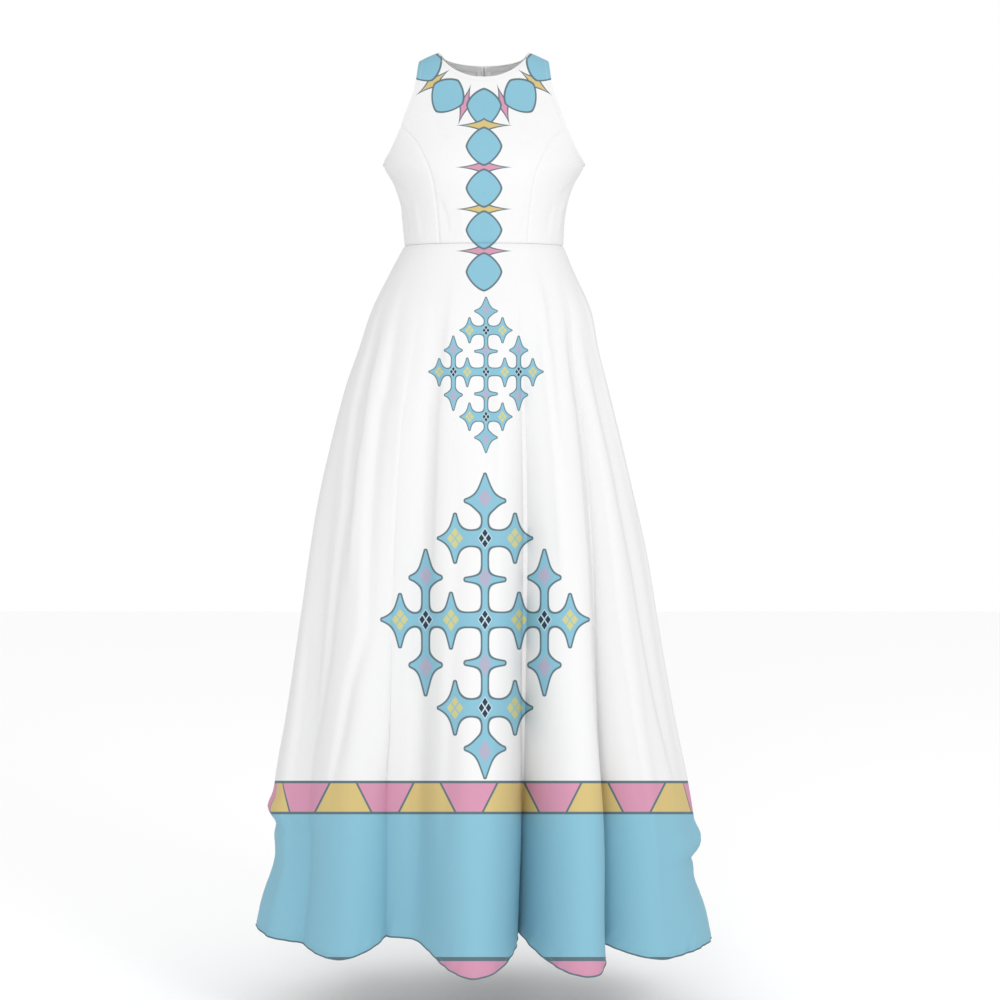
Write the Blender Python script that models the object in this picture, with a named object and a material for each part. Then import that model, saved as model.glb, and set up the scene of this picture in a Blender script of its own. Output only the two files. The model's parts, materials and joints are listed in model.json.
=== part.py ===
"""A sleeveless, floor-length dress of white cloth, filled out as it is worn.

Metres, +Z up. The front faces -Y and +X is on the right of someone looking at the front.
The origin is between the shoulder seams, where the wearer's shoulders carry the dress.
"""

import bisect
import math

import bpy
from mathutils import Matrix, Vector

# Driving sizes
WALL = 0.0015
SEAM_GAP = 0.0003
WAIST_Z = -0.305
HEM_Z = -1.411
ROUNDNESS = 2.2
SIDE = math.pi / 2
BACK = math.pi

# Bodice sections, from the shoulder seam down to the waist seam:
# height, half width, depth in front of the side seams, depth behind them.
BODICE_SECTIONS = [
    (0.0000, 0.1700, 0.0000, 0.0000),
    (-0.0030, 0.1700, 0.0190, 0.0190),
    (-0.0120, 0.1700, 0.0360, 0.0400),
    (-0.0280, 0.1700, 0.0500, 0.0600),
    (-0.0480, 0.1690, 0.0610, 0.0740),
    (-0.0750, 0.1670, 0.0740, 0.0880),
    (-0.1100, 0.1640, 0.0920, 0.1010),
    (-0.1450, 0.1610, 0.1070, 0.1070),
    (-0.1800, 0.1580, 0.1160, 0.1050),
    (-0.2080, 0.1430, 0.1170, 0.0990),
    (-0.2400, 0.1325, 0.1120, 0.0900),
    (-0.2720, 0.1280, 0.1050, 0.0830),
    (WAIST_Z, 0.1265, 0.1000, 0.0800),
]
# The cups that the curved front seams shape: reach outwards, and where they are fullest.
CUP_DEPTH = 0.004
CUP_X, CUP_Z = 0.078, -0.195
CUP_WIDTH, CUP_HEIGHT = 0.055, 0.060
# How the shoulder falls away from the neck, and over what height that fades out.
SHOULDER_SLOPE = 0.62
SHOULDER_SOFTNESS = 0.030
SHOULDER_FADE = 0.120

# Edges and seams of the bodice, as x and z seen from the front.
NECK_POINT = (0.0720, 0.0000)
SHOULDER_POINT = (0.1008, -0.0126)
NECK_FRONT = [
    (0.0000, -0.0455),
    (0.0160, -0.0443),
    (0.0311, -0.0400),
    (0.0466, -0.0323),
    (0.0578, -0.0233),
    (0.0671, -0.0117),
    NECK_POINT,
]
NECK_BACK = [(0.0000, -0.0140), (0.0250, -0.0130), (0.0500, -0.0095), (0.0640, -0.0050), NECK_POINT]
CURVED_SEAM_TOP = (0.1285, -0.1225)
CURVED_SEAM = [
    (0.0690, WAIST_Z),
    (0.0730, -0.2500),
    (0.0785, -0.2120),
    (0.0870, -0.1840),
    (0.0980, -0.1600),
    (0.1120, -0.1390),
    CURVED_SEAM_TOP,
]
ARMHOLE_FRONT_TOP = [
    CURVED_SEAM_TOP,
    (0.1225, -0.1040),
    (0.1155, -0.0850),
    (0.1085, -0.0650),
    (0.1045, -0.0400),
    SHOULDER_POINT,
]
ARMHOLE_FRONT_LOW = [CURVED_SEAM_TOP, (0.1390, -0.1450), (0.1505, -0.1650)]
ARMHOLE_BACK = [
    (0.1480, -0.1620),
    (0.1340, -0.1370),
    (0.1225, -0.1060),
    (0.1140, -0.0750),
    (0.1080, -0.0430),
    SHOULDER_POINT,
]
ARMHOLE_FOOT_Z = -0.1800

# Skirt sections from the waist seam down to the hem:
# height, reach to the -X side, reach to the +X side, depth in front, depth behind.
SKIRT_SECTIONS = [
    (WAIST_Z, 0.1265, 0.1265, 0.1000, 0.0800),
    (-0.3450, 0.1480, 0.1430, 0.1130, 0.1020),
    (-0.4050, 0.1780, 0.1700, 0.1330, 0.1310),
    (-0.4700, 0.2000, 0.1830, 0.1500, 0.1500),
    (-0.5330, 0.2220, 0.1990, 0.1630, 0.1660),
    (-0.6600, 0.2540, 0.2300, 0.1860, 0.1940),
    (-0.7900, 0.2780, 0.2580, 0.2060, 0.2190),
    (-0.9200, 0.2980, 0.2800, 0.2240, 0.2410),
    (-1.0500, 0.3180, 0.3040, 0.2410, 0.2620),
    (-1.1500, 0.3360, 0.3250, 0.2520, 0.2760),
    (-1.2500, 0.3480, 0.3420, 0.2620, 0.2880),
    (-1.3400, 0.3600, 0.3540, 0.2700, 0.2980),
    (HEM_Z, 0.3715, 0.3665, 0.2770, 0.3050),
]
HIP_Z = -0.40
# Where the side folds buckle above the hem: side, height, reach outwards, half height of the buckle.
SIDE_BUCKLES = [
    (-1, -1.202, 0.008, 0.016),
    (-1, -1.230, -0.006, 0.012),
    (-1, -1.285, -0.014, 0.050),
    (1, -1.250, 0.009, 0.018),
    (1, -1.278, -0.008, 0.011),
    (1, -1.310, -0.012, 0.040),
]

# Skirt folds in order round the hem. Bearings are in degrees: 0 is the front centre, 90 the +X side
# and 180 the back centre. The smaller a flank's breadth number, the sooner the cloth rounds out from
# the valley, which makes the crest broad and the valley narrow.
# bearing at the hip, bearing at the hem, inset from the section, lift of the hem, height it starts at,
# breadth of the flank after it.
SKIRT_FOLDS = [
    (-90, -90.0, 0.000, 0.014, -0.50, 0.90),
    (-77, -76.0, 0.014, 0.012, -0.55, 0.90),
    (-66, -61.0, 0.060, 0.008, -0.50, 0.50),
    (-47, -42.0, 0.048, 0.001, -0.42, 0.32),
    (-33, -30.0, 0.104, 0.032, -0.40, 0.70),
    (-25, -21.5, 0.100, 0.032, -0.40, 0.95),
    (-6, -2.0, 0.000, -0.001, -0.36, 0.30),
    (20, 10.3, 0.140, 0.040, -0.34, 0.42),
    (37, 26.0, 0.000, -0.004, -0.34, 0.42),
    (51, 36.5, 0.100, 0.024, -0.36, 0.40),
    (62, 53.0, 0.016, 0.000, -0.40, 0.70),
    (74, 70.0, 0.004, 0.002, -0.50, 0.70),
    (90, 90.0, 0.000, -0.006, -0.50, 0.68),
    (104, 103.0, 0.072, 0.014, -0.46, 0.68),
    (116, 118.0, 0.008, 0.000, -0.44, 0.68),
    (129, 131.0, 0.094, 0.018, -0.44, 0.68),
    (143, 144.0, 0.000, 0.000, -0.44, 0.68),
    (155, 157.0, 0.082, 0.014, -0.46, 0.68),
    (168, 169.0, 0.012, 0.004, -0.50, 0.68),
    (180, 180.0, 0.052, 0.010, -0.52, 0.68),
    (193, 194.0, 0.006, 0.000, -0.50, 0.68),
    (206, 205.0, 0.088, 0.018, -0.46, 0.68),
    (219, 218.0, 0.000, 0.000, -0.44, 0.68),
    (232, 231.0, 0.078, 0.014, -0.44, 0.68),
    (245, 244.0, 0.010, 0.002, -0.46, 0.68),
    (257, 257.0, 0.064, 0.016, -0.50, 0.68),
    (270, 270.0, 0.000, 0.014, -0.50, 0.68),
]
FOLD_GROWTH = 1.2
COLUMNS_PER_FLANK = 4
# Skirt rows, as shares of the fall to the hem: closer together where the sides spring out or buckle.
ROW_FALLS = (
    0, 0.035, 0.08, 0.136, 0.2, 0.27, 0.35, 0.43, 0.51, 0.59, 0.67, 0.74, 0.785,
    0.812, 0.835, 0.856, 0.879, 0.91, 0.955, 1,
)
# Bodice grids: rows up a whole panel and up its seam below the armhole, columns across each panel.
PANEL_ROWS, SEAM_ROWS = 15, 9
FRONT_COLUMNS, SIDE_FRONT_COLUMNS, BACK_COLUMNS, SHOULDER_COLUMNS = 7, 7, 8, 2
# Where the columns beside the back centre seam stand, as shares of a half back and of a flank.
TAPE_SHARE, TAPE_FLANK = 0.075, 0.32
FRONT_FLANKS = (0, 12)
LEFT_BACK_FLANKS = (12, 19)
RIGHT_BACK_FLANKS = (19, 26)

# Invisible zip in the back centre seam
ZIP_END_Z = -0.455
TAPE_WIDTH = 0.011
TAPE_WALL = 0.0010
SLIDER_DISTANCE = 0.016
SLIDER_WIDTH, SLIDER_LENGTH = 0.0046, 0.0090
SLIDER_FOOT, SLIDER_TOP = 0.0006, 0.0020
CROWN_WIDTH, CROWN_LENGTH, CROWN_TOP, CROWN_BAR = 0.0016, 0.0050, 0.0055, 0.0009
HINGE_HEIGHT = 0.0033
TAB_THICKNESS = 0.0010
TAB_LENGTH, TAB_EYE_LENGTH = 0.0190, 0.0039
TAB_HALF_WIDTH, TAB_EYE_HALF_WIDTH = 0.0023, 0.00125
TAB_POINTS = 24
EYE_SQUARENESS = 1.3

# Edges sharper than this are the cut edges of the cloth.
CUT_EDGE_ANGLE = math.radians(50)

WHITE = (0.92, 0.93, 0.94)
ENAMEL = (0.88, 0.88, 0.88)


def smooth_table(keys, rows):
    """A function that reads a table of rows smoothly between its keys, which rise."""

    def slope(i, column):
        low, high = max(i - 1, 0), min(i + 1, len(keys) - 1)
        return (rows[high][column] - rows[low][column]) / (keys[high] - keys[low])

    def read(key):
        i = min(max(bisect.bisect_right(keys, key) - 1, 0), len(keys) - 2)
        span = keys[i + 1] - keys[i]
        t = min(max((key - keys[i]) / span, 0.0), 1.0)
        ease_a, ease_b = (1 + 2 * t) * (1 - t) ** 2, t * t * (3 - 2 * t)
        lean_a, lean_b = t * (1 - t) ** 2 * span, t * t * (t - 1) * span
        return [
            ease_a * rows[i][c] + ease_b * rows[i + 1][c] + lean_a * slope(i, c) + lean_b * slope(i + 1, c)
            for c in range(len(rows[0]))
        ]

    return read


def smooth_step(t):
    t = min(max(t, 0.0), 1.0)
    return t * t * (3 - 2 * t)


def chord_lengths(points):
    """The distance along a run of points, for each point."""
    along = [0.0]
    for a, b in zip(points, points[1:]):
        along.append(along[-1] + math.dist(a, b))
    return along


def round_section(bearing):
    """Sideways and forward shares of a rounded section at a bearing."""
    s, c = math.sin(bearing), math.cos(bearing)
    rho = (abs(s) ** ROUNDNESS + abs(c) ** ROUNDNESS) ** (1 / ROUNDNESS)
    return s / rho, c / rho


# The bodice surface is read by bearing round the figure and by distance down from the shoulder.
DOWN = chord_lengths([(row[0], row[2]) for row in BODICE_SECTIONS])
bodice_section = smooth_table(DOWN, BODICE_SECTIONS)


def shoulder_drop(x, z):
    """How much lower the cloth lies at x than it would under a level shoulder."""

    def ramp(at):
        away = at - NECK_POINT[0]
        return (math.hypot(away, SHOULDER_SOFTNESS) + away) / 2

    fade = smooth_step(1 + z / SHOULDER_FADE)
    return SHOULDER_SLOPE * fade * (ramp(abs(x)) - ramp(NECK_POINT[0]))


def bodice_point(bearing, down):
    z, half, front, back = bodice_section(down)
    across, forward = round_section(bearing)
    x = half * across
    depth = front if forward > 0 else back
    if forward > 0:
        bulge = math.exp(-(((abs(x) - CUP_X) / CUP_WIDTH) ** 2) - ((z - CUP_Z) / CUP_HEIGHT) ** 2)
        depth += CUP_DEPTH * bulge * smooth_step(-z / SHOULDER_FADE)
    return Vector((x, -depth * forward, z - shoulder_drop(x, z)))


def down_at(z):
    """The distance down the front at which the sections reach a height."""
    low, high = 0.0, DOWN[-1]
    for _ in range(40):
        middle = (low + high) / 2
        if bodice_section(middle)[0] > z:
            low = middle
        else:
            high = middle
    return (low + high) / 2


def on_bodice(x, z):
    """Bearing and distance down of a point of the front that is seen at x and z."""
    level = z
    for _ in range(12):
        level = min(z + shoulder_drop(x, level), 0.0)
    down = down_at(level)
    across = min(abs(x) / bodice_section(down)[1], 1.0)
    forward = (1 - across**ROUNDNESS) ** (1 / ROUNDNESS)
    return math.copysign(math.atan2(across, forward), x), down


def smooth_line(places):
    """A smooth curve through places on the bodice, as a function of a share of its length from 0 to 1."""
    along = chord_lengths([bodice_point(*place) for place in places])
    read = smooth_table(along, places)
    return lambda share: read(share * along[-1])


def mapped(points):
    return smooth_line([on_bodice(x, z) for x, z in points])


def mirrored_to_back(points):
    return smooth_line([(BACK - b, d) for b, d in (on_bodice(x, z) for x, z in points)])


def joined(first, second, share):
    """Two edges run end to end, the first over a share of the whole."""
    return lambda t: first(t / share) if t < share else second((t - share) / (1 - share))


def patch(low, high, left, right):
    """A panel filled in between its four edges. The sides run upwards, the other two from left to right."""

    def at(s, t):
        a, b, c, d = low(s), high(s), left(t), right(t)
        p, q, u, v = low(0.0), low(1.0), high(0.0), high(1.0)
        return [
            (1 - t) * a[k] + t * b[k] + (1 - s) * c[k] + s * d[k]
            - (1 - s) * (1 - t) * p[k] - s * (1 - t) * q[k] - (1 - s) * t * u[k] - s * t * v[k]
            for k in range(2)
        ]

    return at


def normal_of(surface, u, v, step=1e-4):
    along = surface(u + step, v) - surface(u - step, v)
    upwards = surface(u, v + step) - surface(u, v - step)
    return along.cross(upwards).normalized()


def bodice_normal(bearing, down):
    """Outward direction. Distance down runs against height, so the cross product is turned round."""
    normal = -normal_of(bodice_point, bearing, max(down, 2e-4))
    # Along the shoulder seam the front and the back share one direction, so that their walls meet.
    return Vector((normal.x, 0.0, normal.z)).normalized() if down < 1e-6 else normal


def bodice_grid(at, across, rows):
    """Points and outward directions of a bodice panel, in rows from the bottom up."""
    places = [[at(s, t) for s in across] for t in rows]
    points = [[bodice_point(*p) for p in row] for row in places]
    normals = [[bodice_normal(*p) for p in row] for row in places]
    return points, normals


def fold_state(flank, z):
    """Bearing, inset and hem lift, read between a crest and its valley."""
    flank %= len(SKIRT_FOLDS) - 1
    i = int(flank)
    t = flank - i
    ends = []
    for hip, hem, inset, lift, start, _ in SKIRT_FOLDS[i : i + 2]:
        fallen = min(max((z - HIP_Z) / (HEM_Z - HIP_Z), 0.0), 1.0)
        grown = min(max((z - start) / (HEM_Z - start), 0.0), 1.1) ** FOLD_GROWTH
        ends.append((math.radians(hip + (hem - hip) * fallen), inset * grown, lift, inset))
    a, b = ends
    rising = a[3] > b[3]
    valley, crest = (a, b) if rising else (b, a)
    to_crest = ((1 - math.cos(math.pi * (t if rising else 1 - t))) / 2) ** SKIRT_FOLDS[i][-1]
    inset = valley[1] + (crest[1] - valley[1]) * to_crest
    lift = valley[2] + (crest[2] - valley[2]) * to_crest
    return a[0] + (b[0] - a[0]) * t, inset, lift


skirt_section = smooth_table([-row[0] for row in SKIRT_SECTIONS], [row[1:] for row in SKIRT_SECTIONS])


def skirt_point(flank, fall):
    """A point of the skirt, by flanks round from the -X side seam and its share of the way to the hem."""
    lift = fold_state(flank, HEM_Z)[2]
    z = WAIST_Z + fall * (HEM_Z + lift - WAIST_Z)
    bearing, inset, _ = fold_state(flank, z)
    right, left, front, back = skirt_section(-z)
    across, forward = round_section(bearing)
    half, depth = (left if across > 0 else right), (front if forward > 0 else back)
    for side, at, reach, height in SIDE_BUCKLES:
        half += reach * math.exp(-(((z - at) / height) ** 2)) * max(side * across, 0.0) ** 12
    outwards = Vector((
        math.copysign(abs(across) ** (ROUNDNESS - 1), across) / half,
        -math.copysign(abs(forward) ** (ROUNDNESS - 1), forward) / depth,
        0.0,
    )).normalized()
    return Vector((half * across, -depth * forward, z)) - outwards * inset


def skirt_grid(flanks, falls):
    """Points and outward directions of a skirt panel, in rows from the hem up."""
    rows = [[(flank, fall) for flank in flanks] for fall in reversed(falls)]
    points = [[skirt_point(*p) for p in row] for row in rows]
    normals = [[-normal_of(skirt_point, *p) for p in row] for row in rows]
    return points, normals


def trimmed(points, left, right, low, high):
    """Draws the chosen edges of a grid back by half a seam gap."""
    half = SEAM_GAP / 2

    def pull(a, b):
        return a + (b - a).normalized() * half

    rows = [list(row) for row in points]
    if low:
        rows[0] = [pull(a, b) for a, b in zip(points[0], points[1])]
    if high:
        rows[-1] = [pull(a, b) for a, b in zip(points[-1], points[-2])]
    for row in rows:
        if left:
            row[0] = pull(row[0], row[1])
        if right:
            row[-1] = pull(row[-1], row[-2])
    return rows


def material(name, colour, roughness):
    made = bpy.data.materials.get(name)
    if made is None:
        made = bpy.data.materials.new(name)
        made.use_nodes = True
        shader = made.node_tree.nodes["Principled BSDF"]
        shader.inputs["Base Color"].default_value = (*colour, 1.0)
        shader.inputs["Roughness"].default_value = roughness
    return made


def new_object(name, points, faces, finish):
    mesh = bpy.data.meshes.new(name)
    mesh.from_pydata(points, [], faces)
    mesh.validate()
    mesh.materials.append(finish)
    made = bpy.data.objects.new(name, mesh)
    bpy.context.scene.collection.objects.link(made)
    return made


def cloth(name, points, normals, finish, sunk=0.0, wall=WALL):
    """A closed wall between a grid of points, in rows that run upwards, and the same grid moved inwards."""
    rows, columns = len(points), len(points[0])
    outer = [p - n * sunk for line, ways in zip(points, normals) for p, n in zip(line, ways)]
    inner = [p - n * (sunk + wall) for line, ways in zip(points, normals) for p, n in zip(line, ways)]
    count = rows * columns

    def at(r, c):
        return r * columns + c

    faces = []
    for r in range(rows - 1):
        for c in range(columns - 1):
            a, b, d, e = at(r, c), at(r, c + 1), at(r + 1, c + 1), at(r + 1, c)
            # Each quad is split along its shorter diagonal, and the inner face alike.
            along_ad = (outer[a] - outer[d]).length < (outer[b] - outer[e]).length
            halves = ((a, b, d), (a, d, e)) if along_ad else ((a, b, e), (b, d, e))
            for i, j, k in halves:
                faces.append((i, j, k))
                faces.append((count + i, count + k, count + j))
    border = (
        [at(0, c) for c in range(columns)]
        + [at(r, columns - 1) for r in range(1, rows)]
        + [at(rows - 1, c) for c in range(columns - 2, -1, -1)]
        + [at(r, 0) for r in range(rows - 2, 0, -1)]
    )
    for a, b in zip(border, border[1:] + border[:1]):
        faces.append((b, a, count + a, count + b))
    made = new_object(name, outer + inner, faces, finish)
    made.data.shade_smooth()
    made.data.set_sharp_from_angle(angle=CUT_EDGE_ANGLE)
    return made


def shares(count):
    return [i / count for i in range(count + 1)]


def straight(start, end):
    return lambda share: [a + (b - a) * share for a, b in zip(start, end)]


def turned(edge):
    return lambda share: edge(1 - share)


def flipped(at):
    """The same panel on the other side of the dress."""

    def other(s, t):
        bearing, down = at(1 - s, t)
        return -bearing, down

    return other


def front_outline():
    """The half of the front panel between the front centre and the curved seam."""
    seam, armhole = mapped(CURVED_SEAM), mapped(ARMHOLE_FRONT_TOP)
    neck, shoulder = mapped(NECK_FRONT), mapped([NECK_POINT, SHOULDER_POINT])
    side = joined(seam, armhole, SEAM_ROWS / PANEL_ROWS)
    top = joined(neck, shoulder, 1 - SHOULDER_COLUMNS / FRONT_COLUMNS)
    centre = straight((0.0, DOWN[-1]), neck(0))
    return patch(straight((0.0, DOWN[-1]), seam(0)), top, centre, side)


def side_front_outline():
    """The left side front panel, between the curved seam and the side seam."""
    seam, foot = mapped(CURVED_SEAM), (SIDE, down_at(ARMHOLE_FOOT_Z))
    armhole = smooth_line([on_bodice(*point) for point in ARMHOLE_FRONT_LOW] + [foot])
    waist_corner = (SIDE, DOWN[-1])
    return patch(straight(seam(0), waist_corner), armhole, seam, straight(waist_corner, foot))


def back_outline():
    """The left back panel, between the side seam and the back centre seam."""
    foot, waist_corner = (SIDE, down_at(ARMHOLE_FOOT_Z)), (SIDE, DOWN[-1])
    from_foot = [foot] + [(BACK - bearing, down) for bearing, down in map(on_bodice, *zip(*ARMHOLE_BACK))]
    side = joined(straight(waist_corner, foot), smooth_line(from_foot), SEAM_ROWS / PANEL_ROWS)
    neck, shoulder = mirrored_to_back(NECK_BACK), mirrored_to_back([NECK_POINT, SHOULDER_POINT])
    top = joined(turned(shoulder), turned(neck), SHOULDER_COLUMNS / BACK_COLUMNS)
    centre = straight((BACK, DOWN[-1]), neck(0))
    return patch(straight(waist_corner, (BACK, DOWN[-1])), top, side, centre)


def bodice_panels():
    """The five bodice panels: name, points, outward directions, and which of the left, right, low and high
    edges are seams."""
    half_front, side_front, half_back = front_outline(), side_front_outline(), back_outline()

    def front(s, t):
        bearing, down = half_front(abs(s), t)
        return math.copysign(bearing, s), down

    rows, seam_rows = shares(PANEL_ROWS), shares(SEAM_ROWS)
    front_across = [i / FRONT_COLUMNS for i in range(-FRONT_COLUMNS, FRONT_COLUMNS + 1)]
    side_across = shares(SIDE_FRONT_COLUMNS)
    back_across = shares(BACK_COLUMNS)
    back_across.insert(-1, 1 - TAPE_SHARE)
    other_back_across = [1 - s for s in reversed(back_across)]
    all_seams, open_top = (True, True, True, True), (True, True, True, False)
    return [
        ("bodice_front", *bodice_grid(front, front_across, rows), all_seams),
        ("bodice_side_front_left", *bodice_grid(side_front, side_across, seam_rows), open_top),
        ("bodice_side_front_right", *bodice_grid(flipped(side_front), side_across, seam_rows), open_top),
        ("bodice_back_left", *bodice_grid(half_back, back_across, rows), all_seams),
        ("bodice_back_right", *bodice_grid(flipped(half_back), other_back_across, rows), all_seams),
    ]


def flank_columns(first, last):
    count = (last - first) * COLUMNS_PER_FLANK
    return [first + i / COLUMNS_PER_FLANK for i in range(count + 1)]


def skirt_panels():
    """The three skirt panels, as the bodice panels are given."""
    front, left, right = map(flank_columns, *zip(FRONT_FLANKS, LEFT_BACK_FLANKS, RIGHT_BACK_FLANKS))
    left[-2], right[1] = LEFT_BACK_FLANKS[1] - TAPE_FLANK, RIGHT_BACK_FLANKS[0] + TAPE_FLANK
    open_hem = (True, True, False, True)
    named = [("skirt_front", front), ("skirt_back_left", left), ("skirt_back_right", right)]
    return [(name, *skirt_grid(flanks, ROW_FALLS), open_hem) for name, flanks in named]


def zip_tape(name, bodice, skirt, columns, finish):
    """A tape inside the back centre seam, from the two panels' own points there, moved inwards."""
    rows, ways = [], []
    for _, points, normals, _ in (skirt, bodice):
        for line, outwards in zip(points, normals):
            if line[columns[0]].z > ZIP_END_Z:
                rows.append([line[c] for c in columns])
                ways.append([outwards[c] for c in columns])
    edge = 0 if abs(rows[0][0].x) > abs(rows[0][1].x) else 1
    for row in rows:
        seam_end = row[1 - edge]
        row[edge] = seam_end + (row[edge] - seam_end).normalized() * TAPE_WIDTH
    return cloth(name, rows, ways, finish, sunk=WALL + SEAM_GAP, wall=TAPE_WALL)


def box(name, low, high, finish):
    corners = [(x, y, z) for x in (low[0], high[0]) for y in (low[1], high[1]) for z in (low[2], high[2])]
    faces = [(0, 1, 3, 2), (4, 6, 7, 5), (0, 4, 5, 1), (2, 3, 7, 6), (0, 2, 6, 4), (1, 5, 7, 3)]
    return new_object(name, corners, faces, finish)


def zip_slider(place, finish):
    """The slider's body with the crown that the tab hangs in, one solid."""
    half_w, half_l = SLIDER_WIDTH / 2, SLIDER_LENGTH / 2
    body = box("zip_slider", (-half_w, -half_l, SLIDER_FOOT), (half_w, half_l, SLIDER_TOP), finish)
    half_c, root = CROWN_LENGTH / 2, SLIDER_TOP - 0.0005
    inner = half_c - CROWN_BAR
    outline = [
        (-half_c, root), (-inner, root), (-inner, CROWN_TOP - CROWN_BAR), (inner, CROWN_TOP - CROWN_BAR),
        (inner, root), (half_c, root), (half_c, CROWN_TOP), (-half_c, CROWN_TOP),
    ]
    count = len(outline)
    points = [(side * CROWN_WIDTH / 2, y, z) for side in (-1, 1) for y, z in outline]
    around = [(i, (i + 1) % count, count + (i + 1) % count, count + i) for i in range(count)]
    caps = [tuple(range(count - 1, -1, -1)), tuple(range(count, 2 * count))]
    crown = new_object("zip_crown_shape", points, around + caps, finish)
    crown.hide_render = True
    crown.display_type = "WIRE"
    union = body.modifiers.new("crown", "BOOLEAN")
    union.operation = "UNION"
    union.object = crown
    for made in (body, crown):
        made.matrix_world = place
    return body


def zip_tab(place, finish):
    """The pull tab: a drop with an eye, whose top bar lies on the hinge line under the crown."""
    bar = TAB_THICKNESS / 2
    eye_middle, eye_half = -(TAB_EYE_LENGTH + bar) / 2, (TAB_EYE_LENGTH - bar) / 2
    outer, inner = [], []
    for i in range(TAB_POINTS):
        s, c = math.sin(2 * math.pi * i / TAB_POINTS), math.cos(2 * math.pi * i / TAB_POINTS)
        length = TAB_LENGTH if c < 0 else bar
        broad, long = math.copysign(abs(s) ** 0.6, s), math.copysign(abs(c) ** 0.7, c)
        outer.append((TAB_HALF_WIDTH * broad, length * long))
        square_s, square_c = (max(-1.0, min(1.0, EYE_SQUARENESS * share)) for share in (s, c))
        inner.append((TAB_EYE_HALF_WIDTH * square_s, eye_middle + eye_half * square_c))
    count = TAB_POINTS
    points = [(x, y, z) for z in (bar, -bar) for loop in (outer, inner) for x, y in loop]
    faces = []
    for i in range(count):
        j = (i + 1) % count
        faces.append((i, count + i, count + j, j))
        faces.append((2 * count + i, 2 * count + j, 3 * count + j, 3 * count + i))
        faces.append((i, j, 2 * count + j, 2 * count + i))
        faces.append((count + i, 3 * count + i, 3 * count + j, count + j))
    made = new_object("zip_pull", points, faces, finish)
    made.matrix_world = place @ Matrix.Translation((0, 0, HINGE_HEIGHT))
    return made


def zip_place():
    """Where the slider sits: just under the back neck, its own z axis pointing out of the cloth."""
    down = on_bodice(0.0, NECK_BACK[0][1])[1] + SLIDER_DISTANCE
    normal = bodice_normal(BACK, down)
    sideways = Vector((-1.0, 0.0, 0.0))
    upwards = normal.cross(sideways)
    turn = Matrix((sideways, upwards, normal)).transposed().to_4x4()
    return Matrix.Translation(bodice_point(BACK, down)) @ turn


def main():
    for old in list(bpy.data.objects):
        bpy.data.objects.remove(old)
    white = material("white cloth", WHITE, 0.75)
    enamel = material("white enamel", ENAMEL, 0.3)
    panels = {}
    for name, points, normals, seams in bodice_panels() + skirt_panels():
        cut = trimmed(points, *seams)
        panels[name] = (name, cut, normals, seams)
        cloth(name, cut, normals, white)
    zip_tape("zip_tape_left", panels["bodice_back_left"], panels["skirt_back_left"], (-2, -1), white)
    zip_tape("zip_tape_right", panels["bodice_back_right"], panels["skirt_back_right"], (0, 1), white)
    place = zip_place()
    zip_slider(place, enamel)
    zip_tab(place, enamel)


main()
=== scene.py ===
"""The looks of the dress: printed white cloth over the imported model, with folds, edges, stitches and zip.

Metres, +Z up. The front faces -Y and +X is on the right of someone looking at the front.
"""

import json
import math

import bmesh
import bpy
import numpy as np
from mathutils import Matrix, Vector

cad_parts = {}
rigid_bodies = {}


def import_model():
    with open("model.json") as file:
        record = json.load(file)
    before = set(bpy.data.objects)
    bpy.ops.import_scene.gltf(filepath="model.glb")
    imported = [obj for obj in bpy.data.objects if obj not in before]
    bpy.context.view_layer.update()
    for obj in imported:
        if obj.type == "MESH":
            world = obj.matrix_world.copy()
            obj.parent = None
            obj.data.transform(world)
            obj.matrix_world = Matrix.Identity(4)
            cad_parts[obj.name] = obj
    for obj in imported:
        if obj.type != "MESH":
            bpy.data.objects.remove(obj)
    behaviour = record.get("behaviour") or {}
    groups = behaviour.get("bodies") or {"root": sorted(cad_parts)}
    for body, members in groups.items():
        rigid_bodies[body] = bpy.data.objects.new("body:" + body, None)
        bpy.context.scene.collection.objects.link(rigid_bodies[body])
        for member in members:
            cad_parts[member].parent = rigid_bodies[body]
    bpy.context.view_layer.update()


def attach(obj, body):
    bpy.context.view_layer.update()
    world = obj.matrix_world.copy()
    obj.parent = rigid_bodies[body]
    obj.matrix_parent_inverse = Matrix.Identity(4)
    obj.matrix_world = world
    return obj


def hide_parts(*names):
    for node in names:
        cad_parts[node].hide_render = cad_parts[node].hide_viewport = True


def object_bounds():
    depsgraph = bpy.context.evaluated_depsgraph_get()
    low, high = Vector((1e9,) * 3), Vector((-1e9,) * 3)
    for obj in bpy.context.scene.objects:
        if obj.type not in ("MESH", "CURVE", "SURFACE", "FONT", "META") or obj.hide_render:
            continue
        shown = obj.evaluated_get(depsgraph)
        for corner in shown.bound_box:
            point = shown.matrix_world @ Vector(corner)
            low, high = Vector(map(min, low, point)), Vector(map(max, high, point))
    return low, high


# Sizes of the solids that the cloth lies on
CLOTH_WALL = 0.0008
SEAM_GAP = 0.0003
WAIST_Z = -0.305
HEM_Z = -1.411
ROUNDNESS = 2.2
SIDE = math.pi / 2
BACK = math.pi

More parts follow.
